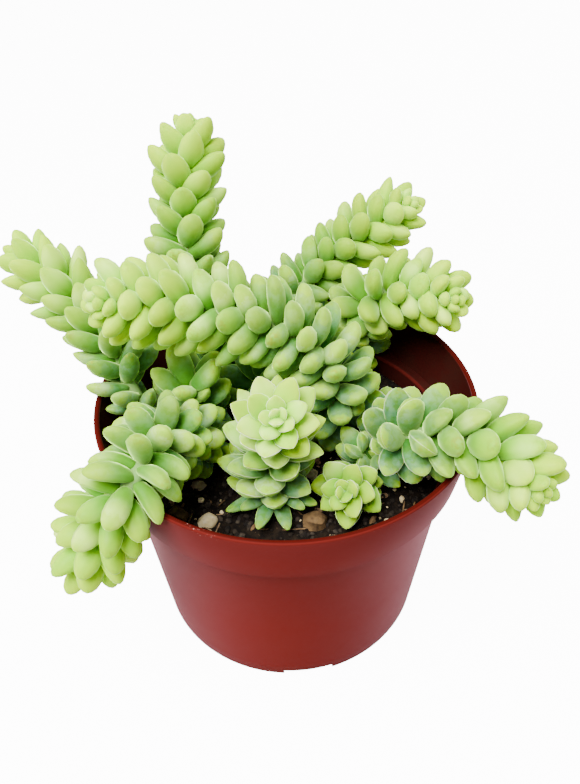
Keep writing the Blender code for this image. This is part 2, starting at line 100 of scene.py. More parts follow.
# Stems on the paths of the part's source. foot is where each stands in the mix, and path the points
# that its axis passes through up to the growing tip. The rest is about its leaves:
# leaf, breadth and spacing: their length, width and distance against a usual full-grown leaf's
# pointed: how pointed the tips are; edged: how sharp and pale the edges of the youngest and oldest are
# bud: how many leaves it takes to grow; open: the angle of the grown ones; aging: how fast they age
# hidden: how many of the smallest the bud lacks; thinned: the share of old ones that have dropped
# turned: how far edged ones face the light; tone: how light the darkest are, as painted light set stem by
# stem
# low: where the tips of the lowest lie, and their width against a usual leaf's
STEMS = {
    "stem_back_upright": dict(
        foot=(-20, 36),
        path=[(-22, 38, 80), (-30, 40, 103), (-31, 48, 115), (-30, 57, 128), (-29, 66, 141)],
        leaf=1.0, breadth=1.12, spacing=1.15, pointed=0.4, open=69, tone=0.0),
    "stem_arching_left": dict(
        foot=(15, 8),
        path=[(15, -5, 86), (11, -5, 100), (1, -4, 109), (-11, -3, 113), (-25, -2, 117), (-36, -2, 119),
              (-43, -4.5, 121), (-48, -9.5, 124)],
        leaf=0.97, breadth=1.02, spacing=0.86, pointed=0.05, bud=10),
    "stem_far_left": dict(
        foot=(-40, 6),
        path=[(-46, 3, 80), (-53, 12, 93), (-61, 21, 101), (-72, 29, 108), (-83, 36, 113)],
        leaf=0.97, breadth=0.96, spacing=1.04, pointed=0.5, thinned=0.45, open=66),
    "stem_front_left": dict(
        foot=(-29, -4),
        path=[(-33, -18, 85), (-36, -33, 93), (-39, -42, 92), (-45, -44, 84), (-51, -43, 73), (-57, -44, 59)],
        leaf=0.93, breadth=0.9, spacing=0.88, pointed=0.15, open=80, thinned=0.2, tone=0.24,
        low=[((-31.5, -21.5, 67.5), 0.8)]),
    "stem_inner_left": dict(
        foot=(-22, 17),
        path=[(-28, 1, 76), (-28, -3, 90)],
        leaf=1.05, breadth=1.0, spacing=1.4, pointed=0.3, hidden=11, thinned=0.4, edged=(0.1, 0.4)),
    "stem_front": dict(
        foot=(-4, -21),
        path=[(-4, -23, 76), (-3.6, -24, 88), (-3, -28, 97), (-2.4, -33.3, 104)],
        leaf=1.0, breadth=1.06, spacing=0.98, pointed=0.85, edged=(1.0, 0.7), open=62, bud=8, aging=1.15,
        tone=0.4,
        low=[((-7.4, -38.6, 68.5), 0.6), ((3.2, -36.5, 70), 0.5), ((-14.5, -32.5, 71), 0.6),
             ((9.5, -33.5, 72), 0.65), ((-1.6, -38.6, 67), 0.6), ((-18, -31.5, 67.5), 0.6)]),
    "stem_small": dict(
        foot=(20, -21),
        path=[(15, -34.3, 76)],
        leaf=0.84, breadth=1.06, spacing=0.95, pointed=0.8, edged=(0.95, 0.8), bud=7, aging=1.1),
    "stem_right": dict(
        foot=(30, -6),
        path=[(32, -23, 86), (40, -27, 91), (48, -31, 92), (56, -35.5, 90), (61, -40, 87.5),
              (63.5, -46.5, 88.5)],
        leaf=0.98, breadth=1.08, spacing=0.9, pointed=0.35, edged=(0.0, 1.0), open=66, bud=8, aging=1.5,
        turned=3.2, tone=0.0),
    "stem_back_right": dict(
        foot=(19, 40),
        path=[(24, 38, 82), (29, 30, 97), (40, 28, 100), (47.5, 22.5, 102), (51.5, 16, 105)],
        leaf=0.95, breadth=1.0, spacing=0.94, pointed=0.1, bud=9, tone=0.05),
    "stem_back_high": dict(
        foot=(-1, 44),
        path=[(2, 48, 84), (16, 56, 95), (27, 60, 103), (36, 60.5, 109), (43, 58, 115)],
        leaf=0.95, breadth=1.02, spacing=1.04, pointed=0.3, thinned=0.3, tone=0.0),
    "stem_inner_middle": dict(
        foot=(-4, 16),
        path=[(-6, 14, 72), (-9, 10, 82)],
        leaf=0.98, breadth=1.0, spacing=1.3, pointed=0.3, hidden=10, thinned=0.3),
    "stem_inner_right": dict(
        foot=(26, -8),
        path=[(25, -19, 70), (21, -18, 77)],
        leaf=0.85, breadth=0.95, spacing=1.0, pointed=0.8, edged=(0.7, 0.95), hidden=6, turned=3.2),
}

# Bits on the mix big enough to tell apart: the centre's x and y, half sizes, the kind and its tone
CHIPS = [
    ((7.4, -33.0), (3.2, 2.5, 2.6), "bark", 0.16),
    ((-23.5, -31.5), (3.2, 2.3, 2.0), "stone", 0.6),
    ((-32.5, -28.5), (2.8, 2.0, 1.9), "bark", 0.12),
    ((-27.5, -16.5), (2.3, 1.9, 1.7), "stone", 0.5),
    ((7.0, -13.5), (2.5, 1.9, 1.8), "stone", 0.6),
]


def length_setting(name, description, default):
    """A length that a user may change."""
    return FloatProperty(name=name, description=description, default=default, min=0.1 * MM, unit="LENGTH")


def number_setting(name, description, default):
    """A plain number that a user may change."""
    return FloatProperty(name=name, description=description, default=default, min=0.0)


def angle_setting(name, description, degrees):
    """An angle that a user may change."""
    return FloatProperty(name=name, description=description, default=math.radians(degrees), subtype="ANGLE")


def count_setting(name, description, default):
    """A count that a user may change."""
    return IntProperty(name=name, description=description, default=default, min=3, max=3000)


def color_setting(name, description, default):
    """A colour that a user may change."""
    return FloatVectorProperty(
        name=name, description=description, default=default, min=0.0, max=1.0, subtype="COLOR")


class PotSettings(PropertyGroup):
    """Sizes and colours of the plastic pot."""

    rim_radius: length_setting("Rim Radius", "Outside radius of the lip", POT_HIGH.x)
    height: length_setting("Height", "Height from the foot to the lip", POT_HIGH.z)
    foot_radius: length_setting("Foot Radius", "Outside radius of the foot", 45 * MM)
    band_depth: length_setting("Band Depth", "Height of the wider band below the lip", 18.4 * MM)
    band_taper: length_setting("Band Taper", "How much narrower the band is at its lower edge", 2.8 * MM)
    band_step: length_setting("Band Step", "How far the band stands out from the body", 3.4 * MM)
    wall: length_setting("Wall", "Thickness of the wall", 1.7 * MM)
    steps: count_setting("Steps", "Steps round the pot", 160)
    color: color_setting("Plastic", "Colour of the moulded plastic", (0.122, 0.0112, 0.0086))
    # The inner wall's colour is painted shade: the inside of the pot darker than its plastic
    inner_shade_color: color_setting("Inner Wall", "Colour of the damp inner wall", (0.024, 0.0036, 0.0027))
    # The sheen colour is painted into the base colour: a painted sheen
    painted_sheen_color: color_setting("Sheen", "Colour of the plastic seen aslant", (0.42, 0.17, 0.20))
    # The lip's top colour is painted shade, darker than the plastic where the light falls on it
    lip_shade_color: color_setting("Lip", "Colour of the top of the lip", (0.044, 0.0034, 0.0022))
    # The lip edge's colour is a painted highlight
    lip_highlight_color: color_setting("Lip Edge", "Colour of the lip's rubbed outer edge", (0.088, 0.0088, 0.0068))


class MixSettings(PropertyGroup):
    """Sizes and colours of the potting mix and the bits in it."""

    level: length_setting("Level", "Height of the mix above what the pot stands on", 61.5 * MM)
    relief: length_setting("Relief", "How far the surface rises and falls", 0.9 * MM)
    crumbs: count_setting("Crumbs", "How many peat crumbs lie on the mix", 1700)
    grit: count_setting("Grit", "How many small stones and bark bits lie on the mix", 420)
    color: color_setting("Peat", "Colour of the damp peat", (0.003, 0.0019, 0.0013))
    bark_color: color_setting("Bark", "Colour of the bark", (0.23, 0.115, 0.020))
    stone_color: color_setting("Stone", "Colour of the pale stones", (0.52, 0.37, 0.11))


class LeafSettings(PropertyGroup):
    """Sizes and colours of the leaves."""

    length: length_setting("Length", "From the stem's axis to the tip of a full-grown leaf", 15.2 * MM)
    width: length_setting("Width", "Widest part of a full-grown leaf", 8.3 * MM)
    spacing: length_setting("Spacing", "Distance along a grown stem from one leaf to the next", 1.05 * MM)
    curl: number_setting("Curl", "How far the tip turns up, against the leaf's length", 0.17)
    young_color: color_setting("Young", "Colour at the growing tip", (0.34, 0.63, 0.001))
    grown_color: color_setting("Grown", "Colour half way down a stem", (0.155, 0.37, 0.002))
    old_color: color_setting("Old", "Colour of the oldest leaves", (0.056, 0.18, 0.086))
    # The base tint is painted shade in the crevices among the other leaves
    crevice_shade_color: color_setting("Base Tint", "Tint of the leaf's base, deep among others", (0.38, 0.66, 0.16))
    # The middle tint is painted: a deeper colour across each face makes the sides paler, as a painted rim
    # light
    rim_light_tint: color_setting("Rib Tint", "Tint along the leaf's middle", (0.82, 0.9, 0.5))
    margin_color: color_setting("Margin", "Colour of the thin pale edge", (0.90, 1.0, 0.66))
    spot_color: color_setting("Tip Spot", "Colour of the small spots under the tip", (0.24, 0.30, 0.012))
    # The tips' colour is painted light: lighter and yellower where the tips stand out into the light
    tip_light_color: color_setting("Tips", "Colour towards the leaves' tips", (0.41, 0.60, 0.0))
    patch_color: color_setting("Tip Patches", "Colour of ragged patches on old tips", (0.26, 0.46, 0.004))
    # The frost colour is partly wax bloom and partly a painted highlight
    frost_and_highlight_color: color_setting("Frost", "Colour of the palest leaves' tips", (0.64, 0.86, 0.25))
    bloom_color: color_setting("Bloom", "Colour of the powdery wax", (0.20, 0.38, 0.22))


class StemSettings(PropertyGroup):
    """Sizes and colours of the stems."""

    radius: length_setting("Radius", "Radius of a bare stem", 2.2 * MM)
    color: color_setting("Colour", "Colour of the bare stem", (0.14, 0.28, 0.06))


class StageSettings(PropertyGroup):
    """The floor, the lights and the camera."""

    floor_color: color_setting("Floor", "Colour of the floor", (0.40, 0.40, 0.40))
    floor_glow: number_setting("Floor Glow", "How bright the floor and the surroundings look", 12.0)
    key_power: number_setting("Key", "Power of the large light overhead in watts", 37.0)
    side_power: number_setting("Sides", "Power of each other light in watts", 5.0)
    sky_strength: number_setting("Surroundings", "How much the white surroundings light", 0.6)
    distance: length_setting("Camera Distance", "From the camera to the middle of the rim", 227.1 * MM)
    elevation: angle_setting("Camera Elevation", "How far the camera looks down", 40.59)
    yaw: angle_setting("Camera Yaw", "How far the camera looks aside of the rim's middle", 0.30)
    pitch: angle_setting("Camera Pitch", "How far the camera looks below the rim's middle", 0.06)
    roll: angle_setting("Camera Roll", "How far the camera leans", 1.47)
    lens: number_setting("Lens", "Focal length for a sensor of 36 mm along the long side", 34.44)


def deselect_all():
    """Leave nothing selected, because operators act on all that is."""
    if bpy.context.object and bpy.context.object.mode != "OBJECT":
        bpy.ops.object.mode_set(mode="OBJECT")
    bpy.ops.object.select_all(action="DESELECT")


def pick(*items):
    """Make these objects the only selected ones, and the first the active one."""
    deselect_all()
    for item in items:
        item.select_set(True)
    bpy.context.view_layer.objects.active = items[0]


def edit_all():
    """Go into edit mode with everything selected."""
    bpy.ops.object.mode_set(mode="EDIT")
    bpy.ops.mesh.select_all(action="SELECT")


def added(name):
    """The object that an operator has just made, with its name given to it and its data."""
    item = bpy.context.object
    item.name = name
    item.data.name = name
    return item


def join(items, name):
    """Join objects into one."""
    pick(*items)
    bpy.ops.object.join()
    return added(name)


def copied(item):
    """A copy of an object with its own mesh."""
    copy = item.copy()
    copy.data = item.data.copy()
    bpy.context.collection.objects.link(copy)
    return copy


def place_in_mesh(item):
    """Bring an object to the origin, with its place in its mesh."""
    pick(item)
    bpy.ops.object.transform_apply(location=True, rotation=True, scale=True)


def select_vertices(item, test):
    """In edit mode, select just the vertices that pass a test on their place."""
    bpy.ops.mesh.select_mode(type="VERT")
    bpy.ops.mesh.select_all(action="DESELECT")
    bpy.ops.object.mode_set(mode="OBJECT")
    for vertex in item.data.vertices:
        vertex.select = test(vertex.co)
    bpy.ops.object.mode_set(mode="EDIT")


def close_mesh():
    """Merge double points, turn every face outwards and leave edit mode."""
    bpy.ops.mesh.select_all(action="SELECT")
    bpy.ops.mesh.remove_doubles(threshold=0.01 * MM)
    bpy.ops.mesh.normals_make_consistent(inside=False)
    bpy.ops.object.mode_set(mode="OBJECT")


def apply_modifier(item, kind, **values):
    """Add a modifier and apply it at once."""
    pick(item)
    modifier = item.modifiers.new(kind.title(), kind)
    for name, value in values.items():
        setattr(modifier, name, value)
    bpy.ops.object.modifier_apply(modifier=modifier.name)


def smooth_by_angle(item, degrees):
    """Shade smooth, with edges sharper than an angle left sharp."""
    pick(item)
    bpy.ops.object.shade_smooth_by_angle(angle=math.radians(degrees))


def mark_points(item, name, values):
    """Store a number or a colour for each point of a mesh, for its material to read."""
    values = np.array(values, np.float32)
    kind, field = ("FLOAT", "value") if values.ndim == 1 else ("FLOAT_COLOR", "color")
    mark = item.data.attributes.new(name, kind, "POINT")
    mark.data.foreach_set(field, values.ravel())


def finish_piece(item, slot, *nodes):
    """Let a piece ride on the body and stand for the nodes it replaces; the slot is not used."""
    place_in_mesh(item)
    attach(item, BODY)
    if nodes:
        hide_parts(*nodes)


def between(low, high, share):
    """The value a share of the way from one value to another."""
    return low + (high - low) * share


class Nodes:
    """Short names for adding and linking the nodes of one tree, whose patterns follow one place."""

    def __init__(self, tree, place=None):
        self.tree = tree
        self.place = place

    def add(self, kind, **values):
        node = self.tree.nodes.new("ShaderNode" + kind)
        for name, value in values.items():
            setattr(node, name, value)
        return node

    def put(self, value, socket):
        """Link an output to an input, or set the input to a plain value."""
        if isinstance(value, bpy.types.NodeSocket):
            self.tree.links.new(value, socket)
        elif hasattr(socket.default_value, "__len__") and len(value) < len(socket.default_value):
            socket.default_value = (*value, 1.0)
        else:
            socket.default_value = value

    def math(self, operation, first, second=0.0, clamp=False):
        node = self.add("Math", operation=operation, use_clamp=clamp)
        self.put(first, node.inputs[0])
        self.put(second, node.inputs[1])
        return node.outputs[0]

    def product(self, first, *others):
        """Values multiplied by each other."""
        for other in others:
            first = self.math("MULTIPLY", first, other)
        return first

    def mix(self, share, first, second, blend="MIX"):
        node = self.add("Mix", data_type="RGBA", blend_type=blend)
        self.put(share, node.inputs[0])
        self.put(first, node.inputs[6])
        self.put(second, node.inputs[7])
        return node.outputs[2]

    def tint(self, share, color, tint):
        """A colour multiplied by a tint as far as a share says."""
        return self.mix(share, color, self.mix(1.0, color, tint, "MULTIPLY"))

    def span(self, value, low, high, to_low=0.0, to_high=1.0, kind="SMOOTHSTEP"):
        """A value's place between low and high, taken over to another span with a soft start and end."""
        node = self.add("MapRange", interpolation_type=kind)
        for place, number in enumerate((value, low, high, to_low, to_high)):
            self.put(number, node.inputs[place])
        return node.outputs[0]

    def even_span(self, value, low, high, to_low, to_high):
        """A span without a soft start and end."""
        return self.span(value, low, high, to_low, to_high, "LINEAR")

    def noise(self, scale, detail=3.0, roughness=0.55):
        node = self.add("TexNoise")
        self.put(self.place, node.inputs["Vector"])
        self.put(scale, node.inputs["Scale"])
        self.put(detail, node.inputs["Detail"])
        self.put(roughness, node.inputs["Roughness"])
        return node.outputs["Fac"]

    def parts(self, whole, kind="XYZ"):
        """A place's or a colour's three numbers."""
        node = self.add("Separate" + kind)
        self.put(whole, node.inputs[0])
        return node.outputs

    def mark(self, name, output="Fac"):
        """What mark_points has stored under a name."""
        return self.add("Attribute", attribute_name=name).outputs[output]

    def graded(self, color, **values):
        """A colour with its hue, saturation or value changed."""
        node = self.add("HueSaturation")
        self.put(color, node.inputs["Color"])
        for name, value in values.items():
            self.put(value, node.inputs[name.title()])
        return node.outputs[0]

    def group(self, name, **values):
        """One of the shared groups, with its own values."""
        node = self.add("Group")
        node.node_tree = bpy.data.node_groups[name]
        self.put(self.place, node.inputs["Vector"])
        for label, value in values.items():
            self.put(value, node.inputs[label.title()])
        return node.outputs

    def mottled(self, color, other, amount, scale, flecks):
        """A colour with clouds and flecks of another."""
        return self.group("Mottle", color=color, other=other, amount=amount, scale=scale, flecks=flecks)[0]


def new_group(name, inputs, outputs):
    """A shader node group with named inputs and outputs, and the two ends of its tree."""
    tree = bpy.data.node_groups.new(name, "ShaderNodeTree")
    for label, kind, default in inputs:
        socket = tree.interface.new_socket(name=label, in_out="INPUT", socket_type="NodeSocket" + kind)
        socket.default_value = default
    tree.interface.new_socket(name="Vector", in_out="INPUT", socket_type="NodeSocketVector")
    for label, kind in outputs:
        tree.interface.new_socket(name=label, in_out="OUTPUT", socket_type="NodeSocket" + kind)
    given = tree.nodes.new("NodeGroupInput").outputs
    made = tree.nodes.new("NodeGroupOutput").inputs
    return Nodes(tree, given["Vector"]), given, made


def build_mottle_group():
    """Cloudy change of one colour towards another, with finer flecks in it."""
    nodes, given, made = new_group(
        "Mottle",
        [("Color", "Color", WHITE), ("Other", "Color", WHITE), ("Amount", "Float", 0.5),
         ("Scale", "Float", 200.0), ("Flecks", "Float", 0.2)],
        [("Color", "Color")])
    clouds = nodes.span(nodes.noise(given["Scale"], 4.0), 0.4, 0.66)
    flecks = nodes.span(nodes.noise(nodes.product(given["Scale"], 9.0), 2.0), 0.56, 0.72)
    share = nodes.math(
        "ADD", nodes.product(clouds, given["Amount"]), nodes.product(flecks, given["Flecks"]), clamp=True)
    nodes.put(nodes.mix(share, given["Color"], given["Other"]), made["Color"])


def build_grain_group():
    """Fine grain for a surface's bump and roughness, on top of slow waves."""
    nodes, given, made = new_group(
        "Grain",
        [("Scale", "Float", 2000.0), ("Waves", "Float", 0.3), ("Roughness", "Float", 0.5),
         ("Spread", "Float", 0.1)],
        [("Height", "Float"), ("Roughness", "Float")])
    fine = nodes.noise(given["Scale"])
    slow = nodes.noise(nodes.product(given["Scale"], 0.04), 2.0)
    nodes.put(nodes.math("ADD", fine, nodes.product(slow, given["Waves"])), made["Height"])
    change = nodes.product(nodes.math("SUBTRACT", slow, 0.5), given["Spread"])
    nodes.put(nodes.math("ADD", given["Roughness"], change, clamp=True), made["Roughness"])


class Finish(Nodes):
    """A material whose Principled BSDF has plain values, and the nodes that feed it."""

    def __init__(self, name, **values):
        self.material = bpy.data.materials.new(name)
        self.material.use_nodes = True
        super().__init__(self.material.node_tree)
        self.place = self.add("TexCoord").outputs["Object"]
        self.shader = self.tree.nodes["Principled BSDF"]
        for label, value in values.items():
            self.feed(label.replace("_", " ").title().replace("Ior", "IOR"), value)

    def feed(self, label, value):
        """Link an output to the shader, or set one of the shader's plain values."""
        self.put(value, self.shader.inputs[label])

    def relief(self, height, strength, depth):
        """Feed a height to the surface's normal."""
        bump = self.add("Bump")
        bump.inputs["Strength"].default_value = strength
        bump.inputs["Distance"].default_value = depth
        self.put(height, bump.inputs["Height"])
        self.feed("Normal", bump.outputs["Normal"])


# Finish of the leaves and stalks: the tint of clear spots in the wax, and the stalks' dry foot
WINDOW_TINT = (0.8, 0.82, 0.22)
DRY_SKIN = (0.2, 0.16, 0.07)
SKIN_CLOUDS = (0.16, 0.2, 0.08)
DRY_BELOW = (60 * MM, 76 * MM)


def leaf_material(leaf):
    """Waxy leaf coloured by its age, place along it, edge and own tone, with painted light and shade."""
    wax = Finish(
        "leaf_wax", subsurface_weight=0.6, subsurface_scale=2.4 * MM, subsurface_radius=(0.9, 1.0, 0.35),
        specular_ior_level=0.05, sheen_weight=1.0, sheen_roughness=0.36, sheen_tint=(0.6, 1.0, 0.22))
    age, tone, spot = wax.parts(wax.mark("growth", "Color"), "Color")
    along, margin, sideways = wax.parts(wax.mark("form", "Color"), "Color")
    color = wax.mix(wax.span(age, 0.02, 0.4), leaf.young_color, leaf.grown_color)
    color = wax.mix(wax.span(age, 0.34, 0.88), color, leaf.old_color)
    bloom = wax.mottled(color, leaf.bloom_color, amount=0.4, scale=260.0, flecks=0.1)
    color = wax.mix(wax.span(age, 0.15, 0.9), color, bloom)
    # Painted shade: darker, deeper colour at each leaf's base, among the others
    deep = wax.product(wax.span(along, 0.78, 0.15), wax.span(age, 0.05, 0.6, 0.35, 1.0))
    color = wax.tint(deep, color, leaf.crevice_shade_color)
    # Painted light: lighter, yellower colour towards the tips, most on young leaves
    lit = wax.product(wax.span(along, 0.45, 0.95, 0.0, 0.5), wax.span(age, 0.3, 0.8, 1.0, 0.3))
    color = wax.mix(lit, color, leaf.tip_light_color)
    # Pale frost towards the tips of light-toned leaves: partly wax bloom, partly a painted highlight
    frost_and_highlight = wax.product(
        wax.span(along, 0.4, 0.8, 0.0, 0.34), wax.span(tone, 0.5, 0.85), wax.span(along, 1.0, 0.86, 0.1, 1.0))
    color = wax.mix(frost_and_highlight, color, leaf.frost_and_highlight_color)
    windows = wax.product(wax.span(wax.noise(480.0), 0.45, 0.61), wax.span(age, 0.3, 0.75, 0.0, 0.75))
    color = wax.tint(windows, color, WINDOW_TINT)
    ragged = wax.math("ADD", along, wax.product(wax.noise(420.0, roughness=0.65), 0.5))
    patch = wax.product(
        wax.span(ragged, 1.02, 1.12), wax.span(age, 0.2, 0.6, 0.1, 0.8), wax.span(tone, 0.2, 0.7, 0.35, 1.0))
    color = wax.mix(patch, color, leaf.patch_color)
    spotted = wax.product(
        wax.span(along, 0.84, 0.95), wax.span(age, 0.2, 0.7, 0.25, 0.9), wax.span(spot, 0.1, 0.6),
        wax.span(wax.noise(900.0), 0.45, 0.6))
    color = wax.mix(spotted, color, leaf.spot_color)
    # Painted rim light: the middle of each face takes a deeper tint and the sides stay paler
    color = wax.tint(wax.span(sideways, 0.9, 0.2, 0.0, 0.8), color, leaf.rim_light_tint)
    edge = wax.product(wax.span(margin, 0.46, 0.9, 0.0, 0.85), wax.span(along, 0.25, 0.6))
    color = wax.mix(edge, color, leaf.margin_color)
    hue = wax.even_span(spot, 0.0, 1.0, 0.492, 0.512)
    color = wax.graded(color, hue=hue, value=wax.even_span(tone, 0.0, 1.0, 0.84, 1.12))
    wax.feed("Base Color", color)
    height, roughness = wax.group("Grain", scale=2600.0, waves=1.2, roughness=0.4, spread=0.3)
    wax.feed("Roughness", roughness)
    wax.relief(height, 0.25, 0.05 * MM)
    return wax.material


def stalk_material(stem):
    """Pale fleshy stem with a slightly darker, drier foot."""
    skin = Finish(
        "stalk_skin", subsurface_weight=0.12, subsurface_scale=1.0 * MM, roughness=0.7,
        specular_ior_level=0.08)
    dry = skin.span(skin.parts(skin.place)["Z"], *DRY_BELOW, 1.0, 0.0)
    color = skin.mix(skin.product(dry, 0.6), stem.color, DRY_SKIN)
    skin.feed("Base Color", skin.mottled(color, SKIN_CLOUDS, amount=0.4, scale=330.0, flecks=0.25))
    skin.relief(skin.group("Grain", scale=1500.0, waves=0.8)["Height"], 0.4, 0.12 * MM)
    return skin.material


# Finish of the pot: clouds in the plastic, painted shade atop the band, clouds in the painted shade inside,
# nicks at the lip's front left, dust at the foot, where the painted sheen grows, and the turning marks' pitch
PLASTIC_CLOUDS = (0.118, 0.010, 0.008)
BAND_TOP_SHADE_COLOR = (0.094, 0.0112, 0.0096)
BAND_TOP_SHADE_REACH = (16 * MM, 2 * MM)
INNER_SHADE_CLOUDS = (0.02, 0.006, 0.004)
NICK_COLOR = (0.5, 0.26, 0.22)
NICK_REACH = (2.2 * MM, 0.8 * MM)
NICKED_STRETCH = ((-28 * MM, -25 * MM), (-16 * MM, -19 * MM))
DUST_COLOR = (0.06, 0.02, 0.014)
DUST_REACH = (8 * MM, 0.5 * MM)
SHEEN_LIGHT_SIDES = (-50 * MM, 50 * MM)
SHEEN_HEIGHTS = (10 * MM, 60 * MM)
TURNING_MARKS = 5200.0


def painted_sheen(plastic, x, from_axis, height):
    """How much painted sheen shows: most where the wall turns to the sides, and none on level faces."""
    slant = plastic.even_span(plastic.add("LayerWeight").outputs["Facing"], 0.45, 1.0, 0.0, 1.0)
    sideways = plastic.math("DIVIDE", plastic.product(x, x), plastic.product(from_axis, from_axis))
    level = plastic.math("ABSOLUTE", plastic.parts(plastic.add("NewGeometry").outputs["Normal"])["Z"])
    return plastic.product(
        plastic.math("MINIMUM", plastic.product(slant, sideways), 0.62),
        plastic.span(level, 0.7, 0.4),
        # More painted sheen on the right, where the light is brighter, and less on the left
        plastic.even_span(x, *SHEEN_LIGHT_SIDES, 0.66, 1.25),
        plastic.span(height, *SHEEN_HEIGHTS, 0.85, 1.12))


def shaded_inner_wall(plastic, pot, height):
    """Painted shade on the inner wall, with a stripe at its ledge partly in the plastic's own colour."""
    shaded = plastic.mottled(pot.inner_shade_color, INNER_SHADE_CLOUDS, amount=0.5, scale=120.0, flecks=0.35)
    ledge = pot.height - pot.band_depth + pot.wall
    ledge_stripe = plastic.product(
        plastic.span(height, ledge - 1.5 * MM, ledge - 0.8 * MM),
        plastic.span(height, ledge - 0.05 * MM, ledge - 0.3 * MM), 0.3)
    # A stripe at the inner ledge takes back some of the plastic's own colour from the painted shade
    return plastic.mix(ledge_stripe, shaded, pot.color)


def lip_shade_highlight_and_nicks(plastic, pot, color, x, from_axis, height):
    """Painted shade on the lip's top, a painted highlight on its outer edge, a few nicks at its front left.
    """
    lip = plastic.span(height, pot.height - 0.9 * MM, pot.height - 0.3 * MM)
    # Painted shade on the lip's top
    color = plastic.mix(lip, color, pot.lip_shade_color)
    outermost = plastic.span(from_axis, pot.rim_radius - 0.5 * MM, pot.rim_radius - 0.25 * MM)
    # Painted highlight along the lip's outer edge
    color = plastic.mix(plastic.product(lip, outermost), color, pot.lip_highlight_color)
    nicked = plastic.product(
        plastic.span(plastic.noise(1300.0, 4.0, 0.7), 0.62, 0.68, 0.0, 0.75),
        plastic.span(height, *(pot.height - below for below in NICK_REACH)),
        *(plastic.span(x, low, high) for low, high in NICKED_STRETCH))
    return plastic.mix(nicked, color, NICK_COLOR)


def pot_material(pot):
    """Satin moulded plastic, nicked along the lip, with painted shade inside and a painted pale sheen aslant.
    """
    plastic = Finish("pot_plastic", specular_ior_level=0.008)
    x, y, height = plastic.parts(plastic.place)
    from_axis = plastic.math("SQRT", plastic.math("ADD", plastic.product(x, x), plastic.product(y, y)))
    inside = plastic.mark("side")
    color = plastic.mottled(pot.color, PLASTIC_CLOUDS, amount=0.2, scale=30.0, flecks=0.03)
    # Painted shade: the top of the band is darker, against the stronger light that falls on it
    band_top_shade = plastic.span(height, *(pot.height - below for below in BAND_TOP_SHADE_REACH))
    color = plastic.mix(band_top_shade, color, BAND_TOP_SHADE_COLOR)
    # Painted sheen mixed into the base colour
    color = plastic.mix(painted_sheen(plastic, x, from_axis, height), color, pot.painted_sheen_color)
    # Painted shade over the whole inner wall
    color = plastic.mix(inside, color, shaded_inner_wall(plastic, pot, height))
    color = lip_shade_highlight_and_nicks(plastic, pot, color, x, from_axis, height)
    dust = plastic.product(
        plastic.span(plastic.noise(900.0, 5.0, 0.7), 0.58, 0.7), plastic.span(height, *DUST_REACH), 0.2)
    plastic.feed("Base Color", plastic.mix(dust, color, DUST_COLOR))
    grain, roughness = plastic.group("Grain", scale=3200.0, waves=0.1, roughness=0.45, spread=0.1)
    roughness = plastic.math("ADD", roughness, plastic.product(inside, 0.18), clamp=True)
    plastic.feed("Roughness", roughness)
    turned = plastic.math("SINE", plastic.product(height, TURNING_MARKS))
    plastic.relief(plastic.math("ADD", grain, plastic.product(turned, 0.05)), 0.1, 0.05 * MM)
    return plastic.material


# Finish of the potting mix and of the bits on it
PEAT_CLOUDS = (0.013, 0.008, 0.004)
PEAT_FIBRES = (0.12, 0.075, 0.035)
CRUMB_COLOR = (0.009, 0.0055, 0.0035)
CRUMB_CLOUDS = (0.038, 0.024, 0.010)
BARK_CLOUDS = (0.05, 0.022, 0.008)
STONE_CLOUDS = (0.62, 0.49, 0.27)


def mix_material(mix):
    """Damp crumbly peat with paler fibres and dust in it."""
    peat = Finish("potting_mix", roughness=0.92, specular_ior_level=0.08)
    color = peat.mottled(mix.color, PEAT_CLOUDS, amount=0.6, scale=420.0, flecks=0.3)
    pale = peat.product(peat.span(peat.noise(1400.0), 0.66, 0.72), 0.4)
    peat.feed("Base Color", peat.mix(pale, color, PEAT_FIBRES))
    peat.relief(peat.group("Grain", scale=900.0, waves=1.5)["Height"], 0.9, 0.6 * MM)
    return peat.material


def grit_material(name, color, other, roughness):
    """One kind of bit: its own tone, pores and flecks."""
    bit = Finish(name, roughness=roughness, specular_ior_level=0.15)
    tone = bit.mark("tone")
    color = bit.graded(
        bit.mottled(color, other, amount=0.6, scale=500.0, flecks=0.35),
        value=bit.even_span(tone, 0.0, 1.0, 0.35, 1.35), saturation=bit.even_span(tone, 0.0, 1.0, 0.88, 0.7))
    bit.feed("Base Color", color)
    bit.relief(bit.group("Grain", scale=1600.0, waves=1.0)["Height"], 0.7, 0.25 * MM)
    return bit.material


# The pot's floor and foot: a ring with notches in it, and a raised channel with drain holes
FLOOR = 1.8 * MM
FOOT_RING_WIDTH = 3.6 * MM
CHANNEL_WIDTH = 8 * MM
CHANNEL_HEIGHT = 2 * MM
NOTCH_COUNT = 4
NOTCH_SIZE = (16 * MM, 7.2 * MM, 3.6 * MM)
NOTCH_TURN = math.radians(6.5)
DRAIN_COUNT = 6
DRAIN_RADIUS = 2.8 * MM
DRAIN_STEPS = 32

# Heights of extra rings of the body, and how its ledges, lip and edges are rounded
BODY_RINGS = (30 * MM, 12 * MM, 5 * MM)
LEDGE_ROUND = 0.8 * MM
LIP_STEPS = 8
LIP_SHARE = 0.45
EDGE_ROUND = 0.35 * MM


def body_radius(pot, height):
    """The outside radius of the pot below its rim band."""
    top = pot.rim_radius - pot.band_taper - pot.band_step
    return pot.foot_radius + (top - pot.foot_radius) * height / (pot.height - pot.band_depth)


def channel_edges(pot):
    """The outer and inner radius of the raised channel under the floor."""
    outer = pot.foot_radius - FOOT_RING_WIDTH
    return outer, outer - CHANNEL_WIDTH


